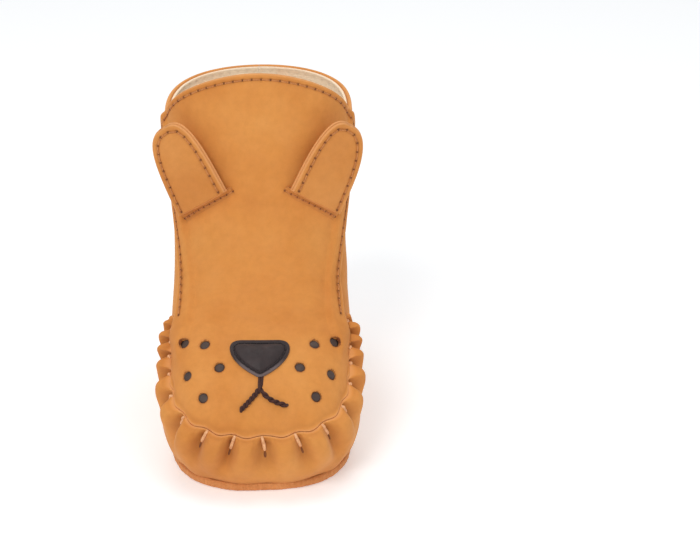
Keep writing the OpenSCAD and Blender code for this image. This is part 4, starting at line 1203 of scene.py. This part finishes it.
class Ear:
    """One ear's shape, in mm along its base (a), up the ear (b) and off its back face (c)."""

    def __init__(self, side):
        self.side = side
        outer, inner, middle = (self.base(u) for u in (0.0, 1.0, 0.5))
        self.origin = middle
        self.along = unit(inner - outer)
        s = (EAR_OUTER + EAR_INNER) / 2
        n = last_normal(side * s[0], s[1])
        away = unit(n - n.dot(self.along) * self.along)
        up = -side * np.cross(away, self.along)
        self.bow = (middle - (inner + outer) / 2).dot(away) / (np.linalg.norm(inner - outer) / 2) ** 2
        tilt = math.radians(EAR_TILT)
        self.up = up * math.cos(tilt) + away * math.sin(tilt)
        self.away = away * math.cos(tilt) - up * math.sin(tilt)

    def base(self, u):
        s = EAR_OUTER + (EAR_INNER - EAR_OUTER) * u
        return last_point(self.side * s[0], s[1]) + EAR_STAND * last_normal(self.side * s[0], s[1])

    def cup(self, a, b):
        """Soft shape of the standing ear: edges curl forward, the tip leans back, and a slight fold."""
        t = np.clip(b / EAR_LENGTH, 0, 1)
        curl = EAR_CURL * (a - EAR_SHIFT * t) ** 2 * t
        fold = EAR_FOLD * np.sin(a / 4.2 + b / 9 + self.side) * t * (1 - 0.4 * t)
        return curl + fold - EAR_LEAN * t**2

    def point(self, a, b, c):
        a, b, c = (np.asarray(v, float)[..., None] for v in np.broadcast_arrays(a, b, c))
        depth = c - self.bow * a**2 + self.cup(a, b)
        return self.origin + a * self.along + b * self.up + depth * self.away

    def tab(self, a, b, c):
        """A place on the strip sewn to the shaft below the ear, for b below 0."""
        u = np.clip(a / EAR_WIDTH + 0.5, -0.1, 1.1)
        s = EAR_OUTER + (EAR_INNER - EAR_OUTER) * u[..., None]
        return lifted(self.side * (s[..., 0] + TAB_OUT + TAB_LEAN * b), s[..., 1] + TAB_UP + TAB_RISE * b, c)

    def front(self, a, b, c):
        """The front leaf, from the sewn strip through the bend to the tip; c is measured below its face."""
        a, b, c = np.broadcast_arrays(*(np.asarray(v, float) for v in (a, b, c)))
        standing = self.point(a, b, EAR_FACE - c)
        skive = 0.08 + 1.15 * ease(-3.0, -0.6, b)
        sewn = self.tab(a, np.minimum(b, 0.6), skive - c * np.minimum(1, skive))
        t = ease(-0.7, 1.5, b)[..., None]
        lip = 0.50 * bell(b - 0.1, 0.45) * (1 if np.ndim(c) == 0 else (c < 0.5))
        return sewn * (1 - t) + standing * t + lip[..., None] * self.away


def ear_half(t):
    """Half the ear's width at a share of its length."""
    return EAR_WIDTH / 2 * (1 - t**EAR_SQUARE) ** (1 / EAR_SQUARE) * (1 - EAR_TAPER * t)


def ear_grid(side, with_tab, grow=0.0):
    """Grid of (a, b) over an ear leaf, oriented so that its outer face looks away from the shaft."""
    u = 2 * fine_ends(90, 0.02) - 1
    near_tip = [0.98, 0.988, 0.994, 0.9975, 0.9992]
    v = np.concatenate([[0, 0.006, 0.015], np.linspace(0.03, 0.97, 120), near_tip])
    t = np.sin(np.pi / 2 * v)
    half = ear_half(t) + grow
    b = EAR_START + t * (EAR_LENGTH + grow - EAR_START)
    shift = EAR_SHIFT * t
    if with_tab:
        edge = -TAB_DEPTH + np.array([0, 0.12, 0.35])
        low = np.concatenate([edge, np.linspace(-TAB_DEPTH + 0.6, EAR_START - 0.12, 18)])
        half = np.concatenate([np.full(len(low), EAR_WIDTH / 2 + TAB_FLARE), half])
        b = np.concatenate([low, b])
        shift = np.concatenate([np.zeros(len(low)), shift])
    across = u if side < 0 else -u
    a = shift[:, None] + across[None, :] * half[:, None]
    return a, np.repeat(b[:, None], len(u), 1)


def ear_row():
    """The stitch line near an ear's edge, as distances along and up the ear."""
    q = np.radians(np.linspace(3, 177, 500))
    r = (np.abs(np.cos(q)) ** EAR_SQUARE + np.abs(np.sin(q)) ** EAR_SQUARE) ** (-1 / EAR_SQUARE)
    t = r * np.sin(q)
    a = EAR_SHIFT * t + r * np.cos(q) * (EAR_WIDTH / 2 - STITCH_INSET) * (1 - EAR_TAPER * t)
    b = EAR_START + t * (EAR_LENGTH - EAR_START - STITCH_INSET)
    return a, b


def make_ear(side, body, prefix):
    """One ear: front leaf, backing and thread. Returns the holes of its base row and their normals."""
    ear = Ear(side)
    node = "ear_" + prefix + "_"
    a_line, b_line = ear_row()
    both = resample(np.stack([a_line, b_line], 1), STITCH_PITCH)
    holes = ear.front(both[:, 0], both[:, 1], 0.0)
    line = ear.front(a_line, b_line, 0.0)
    base_a = np.linspace(-0.49, 0.49, 200) * EAR_WIDTH
    base_line = ear.front(base_a, np.full(200, BASE_ROW), 0.0)
    base_holes = resample(base_line, STITCH_PITCH * BASE_PITCH_SHARE)

    a, b = ear_grid(side, True)
    face = ear.front(a, b, 0.0)
    distance = edge_distance(face)
    sink, shade = needlework(face, [(line, holes), (base_line, base_holes)])
    soft = rim(distance, EAR_EDGE) * ease(-1.5, 0.3, b)
    outer = ear.front(a, b, sink + soft - 0.14 * bell(distance - 1.0, 0.6))
    inner = ear.front(a, b, THIN_LEATHER - 0.4 * soft)
    shade = shade + 0.35 * (1 - ease(0, 0.6, distance)) * ease(-0.8, 0.4, b)
    # Painted shadow just below the lip of the sewn strip and a painted highlight along the lip.
    shade = shade - 0.12 * bell(b + 0.7, 0.4) + 0.12 * bell(b - 0.5, 0.5)
    leaf = make_slab(prefix + "_ear_leather", inner, outer, EAR_TAN, 0.55, 0.5 + shade)
    dress(leaf, None, "tan_leather", node + "front", node + "tab")
    start, end = ear.front(0.0, BEND_FROM, 0.5), ear.front(0.0, BEND_TO, 0.5)
    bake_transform(leaf)

    a, b = ear_grid(side, False, grow=0.15)
    face = ear.point(a, b, THIN_LEATHER)
    distance = edge_distance(face)
    soft = rim(distance, EAR_EDGE)
    outer = ear.point(a, b, THIN_LEATHER - 0.04 - 0.5 * soft)
    inner = ear.point(a, b, 0.5 * soft)
    shade = 0.5 + 0.38 * (1 - ease(0, 0.7, distance))
    back = make_slab(prefix + "_ear_backing", inner, outer, EAR_TAN, shade, shade)
    dress(back, body, "tan_leather", node + "back")

    normals = np.repeat(ear.away[None], len(holes), 0)
    stitch_rows(prefix + "_ear_thread", [(holes, normals)], body, node + "stitching")
    shaft = last_normal(side * SHAFT_BESIDE_EAR[0], SHAFT_BESIDE_EAR[1])
    return base_holes, np.repeat(shaft[None], len(base_holes), 0)


def make_ears():
    rows = [make_ear(-1, LEFT_EAR, "left"), make_ear(1, RIGHT_EAR, "right")]
    stitch_rows("ear_base_thread", rows, BOOTIE, "ear_base_stitching")


# ---- rear closure ----
TAPE_W, TAPE, TAPE_MARGIN, NUB, NUB_ROOM = 9.0, 0.8, 1.6, 0.28, 0.3
TAPE_BACK = LAYER_GAP
HOOK_BACK = TAPE_BACK + TAPE + LAYER_GAP
FLAP_BACK = HOOK_BACK + TAPE + LAYER_GAP


def flap_span(x):
    """Lower and upper edge of the flap at X, with its rounded corners."""
    near = np.maximum(0, FLAP_CORNER - (x + FLAP_REACH)) / FLAP_CORNER
    cut = FLAP_CORNER * (1 - np.sqrt(1 - np.minimum(0.985, near**2)))
    return FLAP_LOW + cut, FLAP_TOP - cut


def flap_depth(x):
    """Depth of the flap's back face: on the shaft where it is sewn, over both tapes beyond the crease."""
    return LAYER_GAP + (FLAP_BACK - LAYER_GAP) * ease(0, CREASE_X - 1, CREASE_X - x)


def make_flap():
    inset = STITCH_INSET
    z = np.linspace(FLAP_LOW + inset, FLAP_TOP - inset, 300)
    x = np.full(300, CREASE_X + SEWN_WIDTH - inset)
    sewn = Row(angle_at(x, z, -1), z, np.full(300, LAYER_GAP + LEATHER))
    right, left = CREASE_X - 1.6, -FLAP_REACH + inset
    legs = np.linspace(right, left, 240)
    xs = np.concatenate([legs, np.full(200, left), legs[::-1]])
    climb = np.concatenate([np.zeros(240), np.linspace(0, 1, 200), np.ones(240)])
    low, high = flap_span(xs)
    zs = low + inset + (high - low - 2 * inset) * climb
    edge = Row(angle_at(xs, zs, -1), zs, flap_depth(xs) + LEATHER)

    u, v = grid(fine_ends(150, 0.012), fine_ends(170, 0.012))
    x = CREASE_X + SEWN_WIDTH - (CREASE_X + SEWN_WIDTH + FLAP_REACH) * u
    low, high = flap_span(x)
    z = low + (high - low) * v
    depth = flap_depth(x) + LEATHER
    angle = angle_at(x, z, -1)
    sink, shade = needlework(lifted(angle, z, depth), [sewn.marks, edge.marks])
    crease = bell(x - CREASE_X, 0.6)
    # The crease dips and is painted with shade.
    obj = leather_sheet(
        "flap_leather", angle, z, depth - sink - 0.25 * crease, LEATHER, TAN,
        0.5 + shade - 0.15 * crease, edge=0.42
    )
    dress(obj, None, "tan_leather", "closure_flap", "flap_sewn_edge")
    depth = LAYER_GAP + LEATHER / 2
    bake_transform(obj)
    stitch_rows("flap_sewn_thread", [sewn.stitches], BOOTIE, "flap_stitching")
    stitch_rows("flap_edge_thread", [edge.stitches], FLAP, "flap_edge_stitching")


def make_tape(name, back, material, body, slot, node, outwards):
    """A strip of hook or loop tape, with its nubs on the outer or the inner face."""
    u, v = grid(np.linspace(0, 1, 61), np.linspace(0, 1, 221))
    x = -FLAP_REACH + TAPE_MARGIN + TAPE_W * (1 - u)
    z = FLAP_LOW + FLAP_CORNER + (FLAP_TOP - FLAP_LOW - 2 * FLAP_CORNER) * v
    angle = angle_at(x, z, -1)
    bumps = NUB * np.abs(np.sin(x * 3.3 + 0.6 * np.sin(z * 2))) * np.abs(np.sin(z * 3.3))
    outer = back + TAPE - 0.05 - (NUB_ROOM - bumps if outwards else 0)
    inner = back + 0.05 + (0 if outwards else NUB_ROOM - bumps)
    obj = make_slab(name, lifted(angle, z, inner), lifted(angle, z, outer), material)
    return dress(obj, body, slot, node)


# ---- build ----
make_face_panel()
make_underlay()
make_toe_wrap()
make_lacing()
make_quarter(-1, "left_quarter_leather", "quarter_left")
make_quarter(1, "right_quarter_leather", "quarter_right")
make_outsole()
make_insole()
make_linings()
make_nose()
make_mouth()
stitch_rows("panel_thread", [PANEL_ROW.stitches], BOOTIE, "panel_stitching")
stitch_rows("rim_thread", [RIM_ROW.stitches], BOOTIE, "rear_rim_stitching")
stitch_rows("back_seam_thread", [row.stitches for row in BACK_ROWS], BOOTIE, "back_seam_stitching")
make_ears()
make_flap()
make_tape("loop_fleece_tape", TAPE_BACK, LOOPS, BOOTIE, "loop_fleece", "loop_tape", True)
make_tape("hook_tape_strip", HOOK_BACK, HOOKS, FLAP, "hook_tape", "hook_tape", False)


# ---- floor, light and camera ----
def make_floor():
    mesh = bpy.data.meshes.new("floor")
    half = 6.0
    corners = [(-half, -half, 0), (half, -half, 0), (half, half, 0), (-half, half, 0)]
    mesh.from_pydata(corners, [], [(0, 1, 2, 3)])
    floor = bpy.data.objects.new("floor", mesh)
    bpy.context.scene.collection.objects.link(floor)
    paper = Shader(
        "pale_floor", 0.9, Base_Color=(0.89, 0.91, 0.93, 1), Emission_Color=(1.0, 1.0, 1.0, 1),
        Emission_Strength=0.27, Specular_IOR_Level=0.1
    )
    mesh.materials.append(paper.material)


def link_at(obj, place, target):
    """Puts a light or the camera into the scene, looking at a target."""
    obj.location = place
    obj.rotation_euler = (Vector(target) - Vector(place)).to_track_quat("-Z", "Y").to_euler()
    bpy.context.scene.collection.objects.link(obj)


def add_light(name, place, size, energy, colour):
    data = bpy.data.lights.new(name, "AREA")
    data.shape = "DISK"
    data.size = size
    data.energy = energy
    data.color = colour
    link_at(bpy.data.objects.new(name, data), place, (0, 0, 0.05))


IMAGE_WIDTH = 700


def add_camera():
    """The photo's view: from the front, a little to the side and 22 degrees above."""
    distance, elevation, turn = 0.620, math.radians(22), math.radians(-2)
    target = Vector((0.030, 0.0, 0.058))
    place = target + distance * Vector((0, -math.cos(elevation), math.sin(elevation)))
    spin = Matrix.Rotation(turn, 4, "Z")
    data = bpy.data.cameras.new("camera")
    data.sensor_width = 36
    data.lens = 97.25
    data.shift_x, data.shift_y = -1.5 / IMAGE_WIDTH, -24 / IMAGE_WIDTH
    camera = bpy.data.objects.new("camera", data)
    link_at(camera, spin @ place, spin @ target)
    bpy.context.scene.camera = camera


make_floor()
add_light("key", (-0.35, -0.75, 0.85), 0.50, 4.7, (1.0, 0.985, 0.965))
add_light("fill", (0.8, -0.5, 0.6), 0.9, 1.2, (0.97, 0.985, 1.0))
add_light("top", (0.0, 0.25, 1.1), 0.8, 3.5, (1.0, 1.0, 1.0))
add_camera()

world = bpy.data.worlds.new("studio")
world.use_nodes = True
background = world.node_tree.nodes["Background"]
background.inputs["Color"].default_value = (1.0, 1.0, 1.0, 1)
background.inputs["Strength"].default_value = 0.46
bpy.context.scene.world = world
bpy.context.scene.view_settings.view_transform = "Standard"
